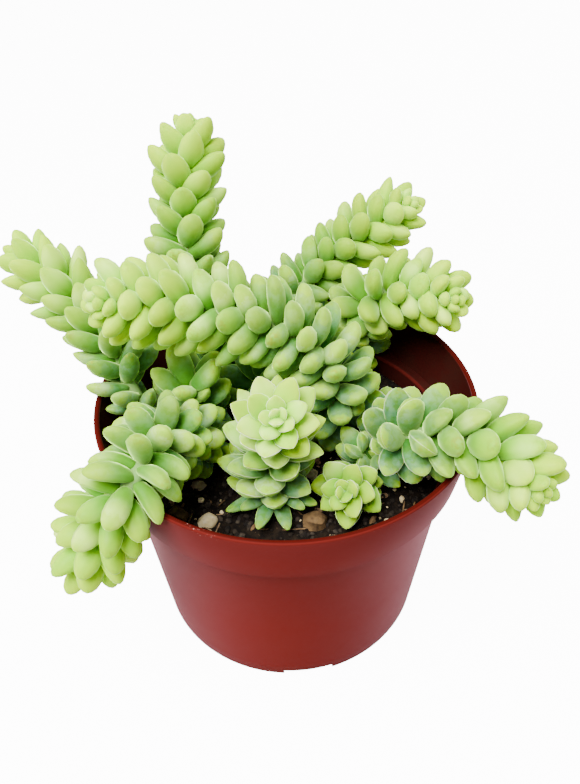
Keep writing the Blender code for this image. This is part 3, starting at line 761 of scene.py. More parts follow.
def pot_outline(pot):
    """The pot's section, from the middle of its floor up inside, over the lip and down outside."""
    band_bottom = pot.height - pot.band_depth
    ledge = band_bottom + pot.wall
    raised = CHANNEL_HEIGHT + FLOOR
    channel_out, channel_in = channel_edges(pot)
    lip = pot.wall / 2
    inner = body_radius(pot, band_bottom) - pot.wall
    inside = [
        (0.0, FLOOR),
        (channel_in - pot.wall, FLOOR),
        (channel_in, raised),
        (body_radius(pot, raised) - pot.wall, raised),
        (inner, ledge - LEDGE_ROUND),
        (inner + LEDGE_ROUND, ledge),
        (pot.rim_radius - pot.band_taper - pot.wall, ledge),
        (pot.rim_radius - 2 * lip, pot.height - lip),
    ]
    top = []
    for step in range(1, LIP_STEPS):
        angle = math.pi * (1 - step / LIP_STEPS)
        top.append((pot.rim_radius - lip + lip * math.cos(angle), pot.height - lip + lip * math.sin(angle)))
    outside = [
        (pot.rim_radius, pot.height - lip),
        (pot.rim_radius - pot.band_taper, band_bottom + LEDGE_ROUND),
        (pot.rim_radius - pot.band_taper - LEDGE_ROUND, band_bottom),
        (body_radius(pot, band_bottom), band_bottom - LEDGE_ROUND),
        *((body_radius(pot, height), height) for height in BODY_RINGS),
        (pot.foot_radius, 0.0),
        (channel_out, 0.0),
        (channel_out, CHANNEL_HEIGHT),
        (channel_in, CHANNEL_HEIGHT),
        (channel_in, 0.0),
        (0.0, 0.0),
    ]
    return inside + top + outside


def spin_outline(name, outline, steps):
    """Draw a section point by point by extruding, spin it round Z and close it."""
    deselect_all()
    radius, height = outline[0]
    bpy.ops.mesh.primitive_plane_add(size=MM, location=(0, 0, 0))
    item = added(name)
    edit_all()
    bpy.ops.mesh.merge(type="CENTER")
    bpy.ops.transform.translate(value=(radius, 0, height))
    for next_radius, next_height in outline[1:]:
        step = (next_radius - radius, 0, next_height - height)
        bpy.ops.mesh.extrude_region_move(TRANSFORM_OT_translate={"value": step})
        radius, height = next_radius, next_height
    bpy.ops.mesh.select_all(action="SELECT")
    bpy.ops.mesh.spin(steps=steps, angle=math.tau, center=(0, 0, 0), axis=(0, 0, 1))
    close_mesh()
    return item


def round_the_pot(count, start=0.0):
    """Evenly spaced directions round the pot, as angles with their sine and cosine."""
    for index in range(count):
        turn = start + index * math.tau / count
        yield turn, math.sin(turn), math.cos(turn)


def foot_cutters(pot):
    """The blocks and rods that cut the notches and drain holes."""
    cutters = []
    reach = pot.foot_radius - FOOT_RING_WIDTH / 2
    for turn, sine, cosine in round_the_pot(NOTCH_COUNT, NOTCH_TURN):
        deselect_all()
        bpy.ops.mesh.primitive_cube_add(
            size=1, location=(reach * sine, -reach * cosine, 0), rotation=(0, 0, turn))
        bpy.context.object.scale = NOTCH_SIZE
        cutters.append(bpy.context.object)
    reach = pot.foot_radius - FOOT_RING_WIDTH - CHANNEL_WIDTH / 2
    for turn, sine, cosine in round_the_pot(DRAIN_COUNT):
        deselect_all()
        bpy.ops.mesh.primitive_cylinder_add(
            vertices=DRAIN_STEPS, radius=DRAIN_RADIUS, depth=4 * FLOOR,
            location=(reach * sine, reach * cosine, CHANNEL_HEIGHT + FLOOR / 2))
        cutters.append(bpy.context.object)
    return join(cutters, "foot_cutters")


def is_inside(pot, place):
    """Whether a point of the pot belongs to its inner wall or floor."""
    on_band = place.z > pot.height - pot.band_depth + pot.wall / 2
    slope = pot.band_taper * (pot.height - place.z) / pot.band_depth
    outside = pot.rim_radius - slope if on_band else body_radius(pot, place.z)
    below_lip = place.z < pot.height - LIP_SHARE * pot.wall
    return math.hypot(place.x, place.y) < outside - pot.wall / 2 and below_lip and place.z > FLOOR / 2


class SEDUM_OT_add_pot(Operator):
    """Turn the plastic pot, with its foot notches and drain holes"""

    bl_idname = "sedum.add_pot"
    bl_label = "Add Pot"

    def execute(self, context):
        pot = context.scene.sedum_pot
        item = spin_outline("nursery_pot", pot_outline(pot), pot.steps)
        cutter = foot_cutters(pot)
        apply_modifier(item, "BOOLEAN", operation="DIFFERENCE", object=cutter, solver="EXACT")
        bpy.data.objects.remove(cutter)
        apply_modifier(
            item, "BEVEL", width=EDGE_ROUND, segments=2, limit_method="ANGLE", angle_limit=math.radians(32))
        smooth_by_angle(item, 30)
        mark_points(item, "side", [float(is_inside(pot, vertex.co)) for vertex in item.data.vertices])
        item.data.materials.append(pot_material(pot))
        finish_piece(item, "pot", "pot")
        return {"FINISHED"}


# The potting mix: rings and steps of its surface, its gap to the pot, its radius above the foot ring,
# how far crumbs stand out and how close they lie, and how far the mix has sunk along the wall
MIX_RINGS = 46
MIX_STEPS = 120
MIX_GAP = 0.3 * MM
MIX_FOOT_RADIUS = 44 * MM
CRUMBLE_HEIGHT = 0.8 * MM
CRUMBLE_SCALE = 0.5
SUNK_FROM = 0.985
SUNK_DEPTH = 0.5 * MM


def soil_height(mix, x, y):
    """The level of the potting mix at a place: the waves that the part's source gives it."""
    across, back = x / MM, y / MM
    swell = math.sin(0.21 * across + 0.7) * math.cos(0.17 * back - 0.4)
    ripple = math.sin(0.43 * back + 0.26 * across)
    return mix.level + mix.relief * (2 * swell + ripple) / 3


def mix_outline(pot, mix):
    """The mix's section, from the middle of its surface out, down the wall and in along the floor."""
    edge = SOIL_HIGH.x
    raised = CHANNEL_HEIGHT + FLOOR + MIX_GAP
    channel_in = channel_edges(pot)[1]
    surface = [(edge * ring / MIX_RINGS, mix.level) for ring in range(MIX_RINGS + 1)]
    return surface + [
        (MIX_FOOT_RADIUS, raised),
        (channel_in - MIX_GAP, raised),
        (channel_in - pot.wall - MIX_GAP, SOIL_LOW.z),
        (0.0, SOIL_LOW.z),
    ]


class SEDUM_OT_add_mix(Operator):
    """Fill the pot with crumbly potting mix"""

    bl_idname = "sedum.add_mix"
    bl_label = "Add Potting Mix"

    def execute(self, context):
        mix = context.scene.sedum_mix
        item = spin_outline("potting_mix", mix_outline(context.scene.sedum_pot, mix), MIX_STEPS)
        for vertex in item.data.vertices:
            place = vertex.co
            if place.z > mix.level - mix.relief:
                rise = CRUMBLE_HEIGHT * noise.fractal(place / MM * CRUMBLE_SCALE, 0.9, 2.0, 5)
                if math.hypot(place.x, place.y) > SUNK_FROM * SOIL_HIGH.x:
                    rise = -SUNK_DEPTH
                place.z = soil_height(mix, place.x, place.y) + rise
        smooth_by_angle(item, 60)
        item.data.materials.append(mix_material(mix))
        finish_piece(item, "soil", "soil")
        return {"FINISHED"}


# Loose bits: how long each kind is against its size, and between which shares of it the other two
# measures lie, how far they vary in form, how far they tip, and how deep they lie
BIT_FORMS = {
    "crumb": (1.0, (0.6, 1.0), (0.5, 0.8)),
    "bark": (1.3, (0.4, 0.7), (0.3, 0.5)),
    "stone": (1.0, (0.7, 1.0), (0.6, 0.8)),
}
FIBRE_LENGTH = 2.6
FIBRE_SECTION = (0.18 * MM, 0.16 * MM)
BIT_KINDS = ("bark", "stone", "bark", "fibre")
BIT_ROUGHENING = 0.42
BIT_TIPPING = 0.35
CRUMB_SIZES = (0.35 * MM, 1.05 * MM)
BIT_SIZES = (0.35 * MM, 1.25 * MM)
CRUMB_RISE = 0.15
BIT_RISE = 0.3
CHIP_RISE = 0.3 * MM
STEM_CLEARANCE = 3 * MM


def rough_lump(kind):
    """One bit to copy: a lump with flats, or a chip with its corners softened."""
    deselect_all()
    if kind in ("bark", "fibre"):
        bpy.ops.mesh.primitive_cube_add(size=1.6)
        edit_all()
        bpy.ops.mesh.subdivide(number_cuts=2, smoothness=0.6)
        bpy.ops.object.mode_set(mode="OBJECT")
    else:
        bpy.ops.mesh.primitive_ico_sphere_add(subdivisions=2, radius=1.0)
    return added(kind)


def scatter(name, kind, places, material):
    """Copy a lump to every place, each copy squashed, turned and roughened its own way, as one piece."""
    lump = rough_lump(kind)
    points = np.array([vertex.co for vertex in lump.data.vertices])
    copies = []
    draw = random.Random(RANDOM_SEED)
    for centre, sizes, turn, tone in places:
        copy = copied(lump)
        shift = Vector((draw.uniform(0, 50), draw.uniform(0, 50), draw.uniform(0, 50)))
        moved = [point * (1 + BIT_ROUGHENING * noise.noise(Vector(point) * 1.1 + shift)) for point in points]
        copy.data.vertices.foreach_set("co", np.array(moved, np.float32).ravel())
        mark_points(copy, "tone", [tone] * len(points))
        copy.matrix_world = Matrix.Translation(centre) @ turn.to_4x4() @ Matrix.Diagonal((*sizes, 1.0))
        copies.append(copy)
    bpy.data.objects.remove(lump)
    item = join(copies, name)
    item.data.materials.append(material)
    smooth_by_angle(item, 35)
    finish_piece(item, "soil")


def on_mix(mix, x, y, rise):
    """A point so far above the level of the mix."""
    return Vector((x, y, soil_height(mix, x, y) + rise))


def bare_place(draw, spare):
    """A random place on the mix, clear of the pot's wall and of the stems."""
    while True:
        reach = (SOIL_HIGH.x - spare) * math.sqrt(draw.random())
        turn = draw.uniform(0, math.tau)
        x, y = reach * math.cos(turn), reach * math.sin(turn)
        feet = (stem["foot"] for stem in STEMS.values())
        if min(math.dist((x, y), (foot_x * MM, foot_y * MM)) for foot_x, foot_y in feet) > STEM_CLEARANCE:
            return x, y


def random_turn(draw):
    """A rotation with no favourite direction but mostly lying flat."""
    return (Matrix.Rotation(draw.uniform(0, math.tau), 3, "Z")
            @ Matrix.Rotation(draw.gauss(0, BIT_TIPPING), 3, "X")
            @ Matrix.Rotation(draw.gauss(0, BIT_TIPPING), 3, "Y"))


def loose_bit(draw, mix, kind, size, place, rise):
    """One bit's centre, sizes, turn and tone."""
    if kind == "fibre":
        sizes = (FIBRE_LENGTH * size, *FIBRE_SECTION)
    else:
        longest, *others = BIT_FORMS[kind]
        sizes = (longest * size, *(size * draw.uniform(*limits) for limits in others))
    return on_mix(mix, *place, rise * size), sizes, random_turn(draw), draw.random()


class SEDUM_OT_add_grit(Operator):
    """Scatter peat crumbs, bark and small stones on the mix"""

    bl_idname = "sedum.add_grit"
    bl_label = "Add Grit"

    def execute(self, context):
        mix = context.scene.sedum_mix
        draw = random.Random(RANDOM_SEED)
        kinds = {"crumb": [], "bark": [], "stone": [], "fibre": []}
        for (x, y), sizes, kind, tone in CHIPS:
            turn = Matrix.Rotation(draw.uniform(0, math.tau), 3, "Z")
            centre = on_mix(mix, x * MM, y * MM, CHIP_RISE)
            kinds[kind].append((centre, [size * MM for size in sizes], turn, tone))
        for index in range(mix.crumbs):
            size = draw.uniform(*CRUMB_SIZES)
            place = bare_place(draw, size)
            kinds["crumb"].append(loose_bit(draw, mix, "crumb", size, place, CRUMB_RISE))
        for index in range(mix.grit):
            kind = draw.choice(BIT_KINDS)
            size = between(*BIT_SIZES, draw.random() ** 2)
            place = bare_place(draw, 2 * size)
            kinds[kind].append(loose_bit(draw, mix, kind, size, place, BIT_RISE))
        peat = grit_material("peat_crumbs", CRUMB_COLOR, CRUMB_CLOUDS, 0.92)
        bark = grit_material("bark_bits", mix.bark_color, BARK_CLOUDS, 0.8)
        stone = grit_material("pale_stones", mix.stone_color, STONE_CLOUDS, 0.7)
        scatter("peat_crumbs", "crumb", kinds["crumb"], peat)
        scatter("bark_bits", "bark", kinds["bark"], bark)
        scatter("small_stones", "stone", kinds["stone"], stone)
        scatter("fibres", "fibre", kinds["fibre"], bark)
        return {"FINISHED"}


# Stem axes: how deep a stem stands in the mix, how far it rises straight, and its steps
STEM_DEPTH = 12.5
STEM_STRAIGHT = 2.5
AXIS_STEP = 1.0
CURVE_STEPS = 24


def distances_along(points):
    """How far along a path each of its points is."""
    steps = np.linalg.norm(np.diff(points, axis=0), axis=1)
    return np.concatenate([[0.0], np.cumsum(steps)])


def at_distance(points, marks, places):
    """Where on a path the given distances along it are."""
    return np.stack([np.interp(places, marks, points[:, axis]) for axis in range(3)], axis=-1)


def smooth_path(points, spacing, before_start=None):
    """Evenly spaced points on a smooth curve through the given ones.

    The curve leaves the first point as if it came from before_start.
    """
    before_start = before_start or 2 * points[0] - points[1]
    ends = [before_start, *points, 2 * points[-1] - points[-2]]
    fine = []
    for before, start, end, after in zip(ends, ends[1:], ends[2:], ends[3:]):
        for step in range(CURVE_STEPS):
            t = step / CURVE_STEPS
            bend = (-before + end) * t + (2 * before - 5 * start + 4 * end - after) * t * t
            bend += (-before + 3 * start - 3 * end + after) * t ** 3
            fine.append(start + bend / 2)
    fine = np.array([*fine, points[-1]])
    marks = distances_along(fine)
    return at_distance(fine, marks, np.linspace(0.0, marks[-1], max(2, round(marks[-1] / spacing)) + 1))


def stem_axis(mix, place, path):
    """The stem's axis in short steps, straight up out of the mix and on to its tip, in millimetres."""
    level = mix.level / MM
    foot = Vector((*place, level - STEM_DEPTH))
    knee = Vector((*place, level + STEM_STRAIGHT))
    bends = [Vector(point) for point in path]
    below = bends[0] - Vector((0.0, 0.0, 2 * (bends[0] - knee).length))
    straight = smooth_path([foot, knee], AXIS_STEP)
    return np.vstack([straight[:-1], smooth_path([knee, *bends], AXIS_STEP, below)])


def carried_frames(axis):
    """The axis's direction at each point, with a side direction carried along without twist."""
    tangents = np.gradient(axis, axis=0)
    tangents /= np.linalg.norm(tangents, axis=1)[:, None]
    side = np.array([1.0, 0.0, 0.0])
    sides = []
    for tangent in tangents:
        side = side - tangent * (side @ tangent)
        side /= np.linalg.norm(side)
        sides.append(side)
    return tangents, np.array(sides)


# Leaf arrangement, from the growing tip down: where the first leaf is, how much closer leaves stand in
# the bud, how small they start and after how many leaves they are grown, by how much and how soon they
# open, and how far down the stem they turn green and old
GOLDEN_ANGLE = math.radians(137.508)
FIRST_LEAF = 0.6
LOWEST_LEAF = 2.2
TIP_CROWDING = 0.4
BUD_LEAVES = 8.0
BUD_START = 0.8
BUD_GROWTH = 7.5
BUD_GROWTH_CURVE = 2.1
BUD_LENGTH = 0.28
BUD_WIDTH = 0.42
TILT_IN_BUD = 8.0
TILT_OPEN = 74.0
TILT_AGED = 12.0
TILT_SPREAD = 8.0
AROUND_SPREAD = 8.0
OPENING_LEAVES = 10.0
OPENING_CURVE = 1.2
AGED_REACH = 36.0
GREENING_REACH = 36.0
GREENING_CURVE = 1.8
GREENED_SHARE = 0.74
GREENED_NARROWING = 0.1
AGED_SHARE = 0.42
AGED_GROWTH = 0.12
HIDDEN_AGE = 0.58
DROPPING = 1.6
DARKEST_TONE = 0.12
TONE_SPREAD = 0.76

# How far leaves of one age and stem differ, against a usual leaf's values
LENGTH_SPREAD = (0.9, 1.06)
WIDTH_SPREAD = (0.92, 1.06)
POINT_SPREAD = 0.25
EDGE_SPREAD = (0.7, 1.0)
BEND_SPREAD = (0.5, 1.5)
TWIST_SPREAD = (-0.25, 0.25)

# Edges of the youngest and oldest leaves, how soon they change, and how leaves turn to the light
EDGED = (0.0, 0.12)
EDGED_CURVE = 1.4
TURN_TO_LIGHT = 1.1
LIGHT_FROM = np.array([-0.2, -0.6, 0.77])
BLUNT_TO_LIGHT = 6

# The lowest leaves: how high above the mix they start, how light they get, and what else they share
LOW_LEAF_HEIGHT = 3.5
LOW_LEAF_TONE = 0.5
LOW_LEAF = {"pointed": 0.5, "edged": 0.2, "age": 1.0, "bend": 0.6, "twist": 0.0, "turned": 0.0}


def levelling_off(amount, reach, curve):
    """How far a change has come, from 0 to 1."""
    return 1 - math.exp(-(amount / reach) ** curve)


def grow_leaf(draw, leaf, stem, rank, around, from_tip, aged):
    """One leaf's size, form, colour values, and its direction against the stem's axis and side."""
    growth = levelling_off(rank + BUD_START, stem.get("bud", BUD_GROWTH), BUD_GROWTH_CURVE)
    greened = levelling_off(from_tip, GREENING_REACH, GREENING_CURVE)
    age = GREENED_SHARE * greened + AGED_SHARE * aged + (HIDDEN_AGE if "hidden" in stem else 0.0)
    age = min(1.0, age * stem.get("aging", 1.0))
    since_bud = 1 + AGED_GROWTH * aged
    length = stem["leaf"] * between(BUD_LENGTH, 1, growth) * since_bud
    width = stem["breadth"] * between(BUD_WIDTH, 1, growth) * since_bud
    opening = levelling_off(rank, OPENING_LEAVES, OPENING_CURVE)
    tilt = between(TILT_IN_BUD, stem.get("open", TILT_OPEN), opening) + TILT_AGED * aged
    tilt = math.radians(tilt + draw.uniform(-1, 1) * TILT_SPREAD * growth)
    around += math.radians(draw.uniform(-AROUND_SPREAD, AROUND_SPREAD))
    return {
        "tilt": tilt,
        "around": around,
        "length": leaf.length / MM * length * draw.uniform(*LENGTH_SPREAD),
        "width": leaf.width / MM * width * (1 - GREENED_NARROWING * greened) * draw.uniform(*WIDTH_SPREAD),
        "pointed": min(1.0, max(0.0, stem["pointed"] + draw.uniform(-1, 1) * POINT_SPREAD)),
        "edged": between(*stem.get("edged", EDGED), age ** EDGED_CURVE) * draw.uniform(*EDGE_SPREAD),
        "age": age,
        # A stem's tone paints light and shade on its leaves; the rest of the tone varies at random
        "tone": min(1.0, stem.get("tone", DARKEST_TONE) + TONE_SPREAD * draw.random()),
        "spot": draw.random() ** 2,
        "bend": draw.uniform(*BEND_SPREAD),
        "twist": draw.uniform(*TWIST_SPREAD),
        "turned": stem.get("turned", TURN_TO_LIGHT),
    }


def leaves_of_stem(index, stem, axis, leaf):
    """A stem's leaves as each would stand alone, from the growing tip down, and then its lowest."""
    draw = random.Random(RANDOM_SEED + index)
    tangents, sides = carried_frames(axis)
    marks = distances_along(axis)
    start = draw.uniform(0, math.tau)
    spacing = leaf.spacing / MM * stem["spacing"]
    grown = []
    count = 0
    while True:
        crowding = TIP_CROWDING + (1 - TIP_CROWDING) * count / (count + BUD_LEAVES)
        mark = marks[-1] - FIRST_LEAF - spacing * count * crowding
        if mark < STEM_DEPTH + LOWEST_LEAF:
            break
        aged = max(0.0, 1 - (mark - STEM_DEPTH) / AGED_REACH)
        rank = count + stem.get("hidden", 0)
        details = grow_leaf(draw, leaf, stem, rank, start + count * GOLDEN_ANGLE, marks[-1] - mark, aged)
        nearest = np.argmin(np.abs(marks - mark))
        tangent, side = tangents[nearest], sides[nearest]
        outward = side * math.cos(details["around"]) + np.cross(tangent, side) * math.sin(details["around"])
        direction = tangent * math.cos(details["tilt"]) + outward * math.sin(details["tilt"])
        if "turned" in stem:
            details["edged"] *= 1 - max(0.0, direction @ LIGHT_FROM) ** BLUNT_TO_LIGHT
        details.update(stem=index, root=at_distance(axis, marks, mark), tangent=tangent, direction=direction)
        if draw.random() > stem.get("thinned", 0.0) * min(1.0, DROPPING * aged):
            grown.append(details)
        count += 1
    root = axis[np.argmin(np.abs(marks - STEM_DEPTH - LOW_LEAF_HEIGHT))]
    for tip, width in stem.get("low", []):
        reach = np.linalg.norm(tip - root)
        grown.append({
            **LOW_LEAF, "stem": index, "root": root, "tangent": np.array([0.0, 0.0, 1.0]),
            "direction": (tip - root) / reach, "length": reach, "width": leaf.width / MM * width,
            "tone": draw.random() * LOW_LEAF_TONE, "spot": draw.random()})
    return grown


# Spheres that stand for a leaf while leaves settle: where they lie along it and how wide it is there.
# Neighbours on a stem push only with their outer spheres, and a little softer
SPHERE_PLACES = np.array([0.22, 0.38, 0.54, 0.7, 0.84, 0.95])
SPHERE_RADII = np.array([0.6, 0.86, 0.98, 0.92, 0.68, 0.36])
OUTER_FROM = 2
NEIGHBOUR_SOFTNESS = 0.84
NEAR_ENOUGH = 0.95
CLEARANCE = 0.4
SMALL = 1e-6

# How many steps leaves settle in, and how far a step pushes and brings them back. What still crosses
# another piece then shrinks in rounds, and a leaf that lies too deep even so is left out
SETTLING_STEPS = 36
SETTLING_PUSH = 0.35
SETTLING_RETURN = 0.06
SHRINKING_ROUNDS = 8
SHRINKING = 0.95
STEPS_AFTER_SHRINKING = 3
CROSSING_SPARE = 0.1
DEEPEST_CROSSING = 1.2
BOX_SPARE = 1.0
TRIMMING_ROUNDS = 20
TRIMMING = 0.98


def wall_strip(pot):
    """The middle line of the pot's wall as radius and height pairs, in millimetres."""
    band_bottom = pot.height - pot.band_depth
    half = pot.wall / 2
    strip = [
        (pot.rim_radius - half, pot.height - half),
        (pot.rim_radius - pot.band_taper - half, band_bottom + half),
        (body_radius(pot, band_bottom) - half, band_bottom + half),
        (pot.foot_radius - half, half),
    ]
    return np.array(strip) / MM


def wall_push(points, radii, strip, half_wall):
    """The push that takes each sphere clear of the pot's wall."""
    reach = np.maximum(np.hypot(points[..., 0], points[..., 1]), SMALL)
    places = np.stack([reach, points[..., 2]], axis=-1)
    best = np.full(reach.shape, np.inf)
    away = np.zeros(places.shape)
    for start, end in zip(strip, strip[1:]):
        run = end - start
        share = np.clip(((places - start) @ run) / (run @ run), 0.0, 1.0)
        gap = places - start - share[..., None] * run
        length = np.linalg.norm(gap, axis=-1)
        nearer = length < best
        best = np.where(nearer, length, best)
        away = np.where(nearer[..., None], gap / np.maximum(length, SMALL)[..., None], away)
    overlap = np.maximum(0.0, radii + half_wall + CLEARANCE - best)
    outward = points[..., :2] / reach[..., None]
    sideways = outward * (away[..., 0] * overlap)[..., None]
    return np.concatenate([sideways, (away[..., 1] * overlap)[..., None]], axis=-1)


class Settling:
    """Leaves that push each other, the pot, the mix and other stems' stalks apart."""

    def __init__(self, grown, axes, pot, mix, stem):
        keys = ("root", "direction", "length", "width", "stem")
        self.roots, self.rest, self.lengths, self.widths, self.stems = (
            np.array([leaf[key] for leaf in grown]) for key in keys)
        self.directions = self.rest.copy()
        self.strip = wall_strip(pot)
        self.half_wall = pot.wall / MM / 2
        self.pot_top = pot.height / MM
        self.soil_top = (mix.level + mix.relief) / MM
        self.soil_edge = body_radius(pot, mix.level) / MM
        self.tubes = [axis[::3] for axis in axes.values()]
        self.tube_radius = stem.radius / MM
        apart = np.linalg.norm(self.roots[:, None] - self.roots[None], axis=2)
        near = apart < NEAR_ENOUGH * (self.lengths[:, None] + self.lengths[None])
        self.first, self.second = np.nonzero(np.triu(near, 1))
        self.same = self.stems[self.first] == self.stems[self.second]

    def spheres(self):
        """Each leaf's spheres, as centres and radii."""
        steps = self.lengths[:, None, None] * SPHERE_PLACES[None, :, None]
        centres = self.roots[:, None] + self.directions[:, None] * steps
        return centres, self.widths[:, None] / 2 * SPHERE_RADII[None]

    def overlaps(self, centres, radii):
        """The push between each near pair of leaves, sphere by sphere, and its depth."""
        gap = centres[self.first][:, :, None] - centres[self.second][:, None]
        reach = radii[self.first][:, :, None] + radii[self.second][:, None]
        reach = np.where(self.same[:, None, None], reach * NEIGHBOUR_SOFTNESS, reach + CLEARANCE)
        length = np.maximum(np.linalg.norm(gap, axis=3), SMALL)
        depth = np.maximum(0.0, reach - length)
        depth[self.same, :OUTER_FROM] = 0.0
        depth[self.same, :, :OUTER_FROM] = 0.0
        return gap / length[..., None] * depth[..., None], depth

    def other_push(self, centres, radii):
        """The push from the pot, the mix and other stems' stalks."""
        push = wall_push(centres, radii, self.strip, self.half_wall)
        over_mix = np.hypot(centres[..., 0], centres[..., 1]) < self.soil_edge
        sunk = np.maximum(0.0, self.soil_top + CLEARANCE - (centres[..., 2] - radii))
        push[..., 2] += np.where(over_mix & (centres[..., 2] < self.pot_top), sunk, 0.0)
        for index, tube in enumerate(self.tubes):
            gap = centres[:, :, None] - tube[None, None]
            length = np.maximum(np.linalg.norm(gap, axis=3), SMALL)
            depth = np.maximum(0.0, radii[..., None] + self.tube_radius + CLEARANCE - length)
            depth[self.stems == index] = 0.0
            worst = depth.argmax(axis=2)[..., None]
            way = np.take_along_axis(gap / length[..., None], worst[..., None], 2)[:, :, 0]
            push += way * np.take_along_axis(depth, worst, 2)
        return push

    def step(self):
        """Turn every leaf a little, as its spheres are pushed."""
        centres, radii = self.spheres()
        shove = self.overlaps(centres, radii)[0]
        lever = SPHERE_PLACES[None, :, None]
        turn = (self.other_push(centres, radii) * lever).sum(axis=1)
        by_first = (shove.sum(axis=2) * lever).sum(axis=1)
        by_second = (-shove.sum(axis=1) * lever).sum(axis=1)
        for axis in range(3):
            turn[:, axis] += np.bincount(self.first, by_first[:, axis], len(turn))
            turn[:, axis] += np.bincount(self.second, by_second[:, axis], len(turn))
        self.directions += SETTLING_PUSH * turn / self.lengths[:, None]
        self.directions += SETTLING_RETURN * (self.rest - self.directions)
        self.directions /= np.linalg.norm(self.directions, axis=1)[:, None]

    def crossing(self):
        """How deep each leaf still lies in the pot, the mix or another stem."""
        centres, radii = self.spheres()
        depth = self.overlaps(centres, radii)[1]
        depth[self.same] = 0.0
        worst = depth.max(axis=(1, 2))
        deep = np.linalg.norm(self.other_push(centres, radii), axis=2).max(axis=1)
        np.maximum.at(deep, self.first, worst)
        np.maximum.at(deep, self.second, worst)
        return deep

    def run(self):
        """Settle, and shrink what still crosses another piece."""
        for index in range(SETTLING_STEPS):
            self.step()
        for index in range(SHRINKING_ROUNDS):
            change = np.where(self.crossing() > CLEARANCE + CROSSING_SPARE, SHRINKING, 1.0)
            self.lengths *= change
            self.widths *= change
            for again in range(STEPS_AFTER_SHRINKING):
                self.step()
        return self.crossing()


def keep_in_frame(settled):
    """Shorten the leaves that reach out of the frame's box."""
    low, high = np.array(CAD_BOX) / MM + np.array([[-BOX_SPARE], [BOX_SPARE]])
    for index in range(len(settled.lengths)):
        for attempt in range(TRIMMING_ROUNDS):
            tip = settled.roots[index] + settled.directions[index] * settled.lengths[index]
            if (tip > low).all() and (tip < high).all():
                break
            settled.lengths[index] *= TRIMMING


# The leaf's shape: where each of its rings lies along it and how wide the leaf is there
LEAF_SIDES = 10
LEAF_RINGS = [
    (0.05, 0.48), (0.18, 0.72), (0.37, 0.92), (0.57, 1.0), (0.75, 0.94), (0.89, 0.7), (0.97, 0.36)]
UPPER_THICKNESS = 0.62
UNDER_THICKNESS = 0.84
ON_MIDDLE = 0.001

# How a leaf's own form changes it: its margin is pinched, an edged leaf is flatter and hollow above,
# a pointed one tapers and a blunt one swells to its tip, and each turns up from a slight sag
BLUNT_PINCH = 0.08
EDGED_PINCH = 0.46
PINCHED_BELOW = 0.9
EDGED_FLATTENING = 0.2
EDGED_HOLLOW = 0.28
POINT_TAPER = 0.66
POINT_REACH = 3.4
BLUNT_SWELLING = 0.08
SWELLING_REACH = 7
SAG = 0.45
PALEST_BLUNT_MARGIN = 0.25


def model_leaf():
    """One leaf, a unit long and wide, shaped from a sphere ring by ring.

    Each ring moves past the others to a place of its own, and all come back together at the end.
    """
    deselect_all()
    rings = len(LEAF_RINGS) + 1
    bpy.ops.mesh.primitive_uv_sphere_add(
        segments=LEAF_SIDES, ring_count=rings, radius=0.5, rotation=(0, 0, math.pi / 2))
    leaf = added("leaf")
    place_in_mesh(leaf)
    bpy.ops.object.mode_set(mode="EDIT")
    places = [(0.0, 0.0), *LEAF_RINGS, (1.0, 0.0)]
    for step, (place, width) in reversed(list(enumerate(places))):
        height = -0.5 * math.cos(math.pi * step / rings)
        select_vertices(leaf, lambda co: abs(co.z - height) < ON_MIDDLE)
        bpy.ops.transform.translate(value=(0, 0, place - height + 1.0))
        if width:
            wider = width / math.sin(math.pi * step / rings)
            bpy.ops.transform.resize(value=(wider, wider, 1), center_override=(0, 0, 0))
    bpy.ops.mesh.select_all(action="SELECT")
    bpy.ops.transform.translate(value=(0, 0, -1.0))
    for way, thickness in ((1, UPPER_THICKNESS), (-1, UNDER_THICKNESS)):
        select_vertices(leaf, lambda co: way * co.y > ON_MIDDLE)
        bpy.ops.transform.resize(value=(1, thickness, 1), center_override=(0, 0, 0))
    bpy.ops.object.mode_set(mode="OBJECT")
    pick(leaf)
    bpy.ops.object.shade_smooth()
    return leaf


def shaped_leaf(points, details, curl):
    """The unit leaf's points, grown, sharpened, twisted and bent as one leaf is, in millimetres."""
    along = points[:, 2]
    pointed, edged = details["pointed"], details["edged"]
    across = points[:, 0]
    thick = points[:, 1] * (1 - EDGED_FLATTENING * edged)
    near_margin = (np.abs(thick) > ON_MIDDLE) & (np.abs(thick) < PINCHED_BELOW * np.abs(across))
    thick = np.where(near_margin, thick * (1 - between(BLUNT_PINCH, EDGED_PINCH, edged)), thick)
    thick = np.where(thick > 0, thick * (1 - EDGED_HOLLOW * edged * along), thick)
    tip = 1 + BLUNT_SWELLING * (1 - pointed) * along ** SWELLING_REACH
    tip -= POINT_TAPER * pointed * along ** POINT_REACH
    across, thick = across * tip * details["width"], thick * tip * details["width"]
    turn = details["twist"] * along
    rise = curl * details["bend"] * details["length"] * (along ** 2 - SAG * along)
    return np.stack([
        across * np.cos(turn) - thick * np.sin(turn),
        across * np.sin(turn) + thick * np.cos(turn) + rise,
        along * details["length"]], axis=1)


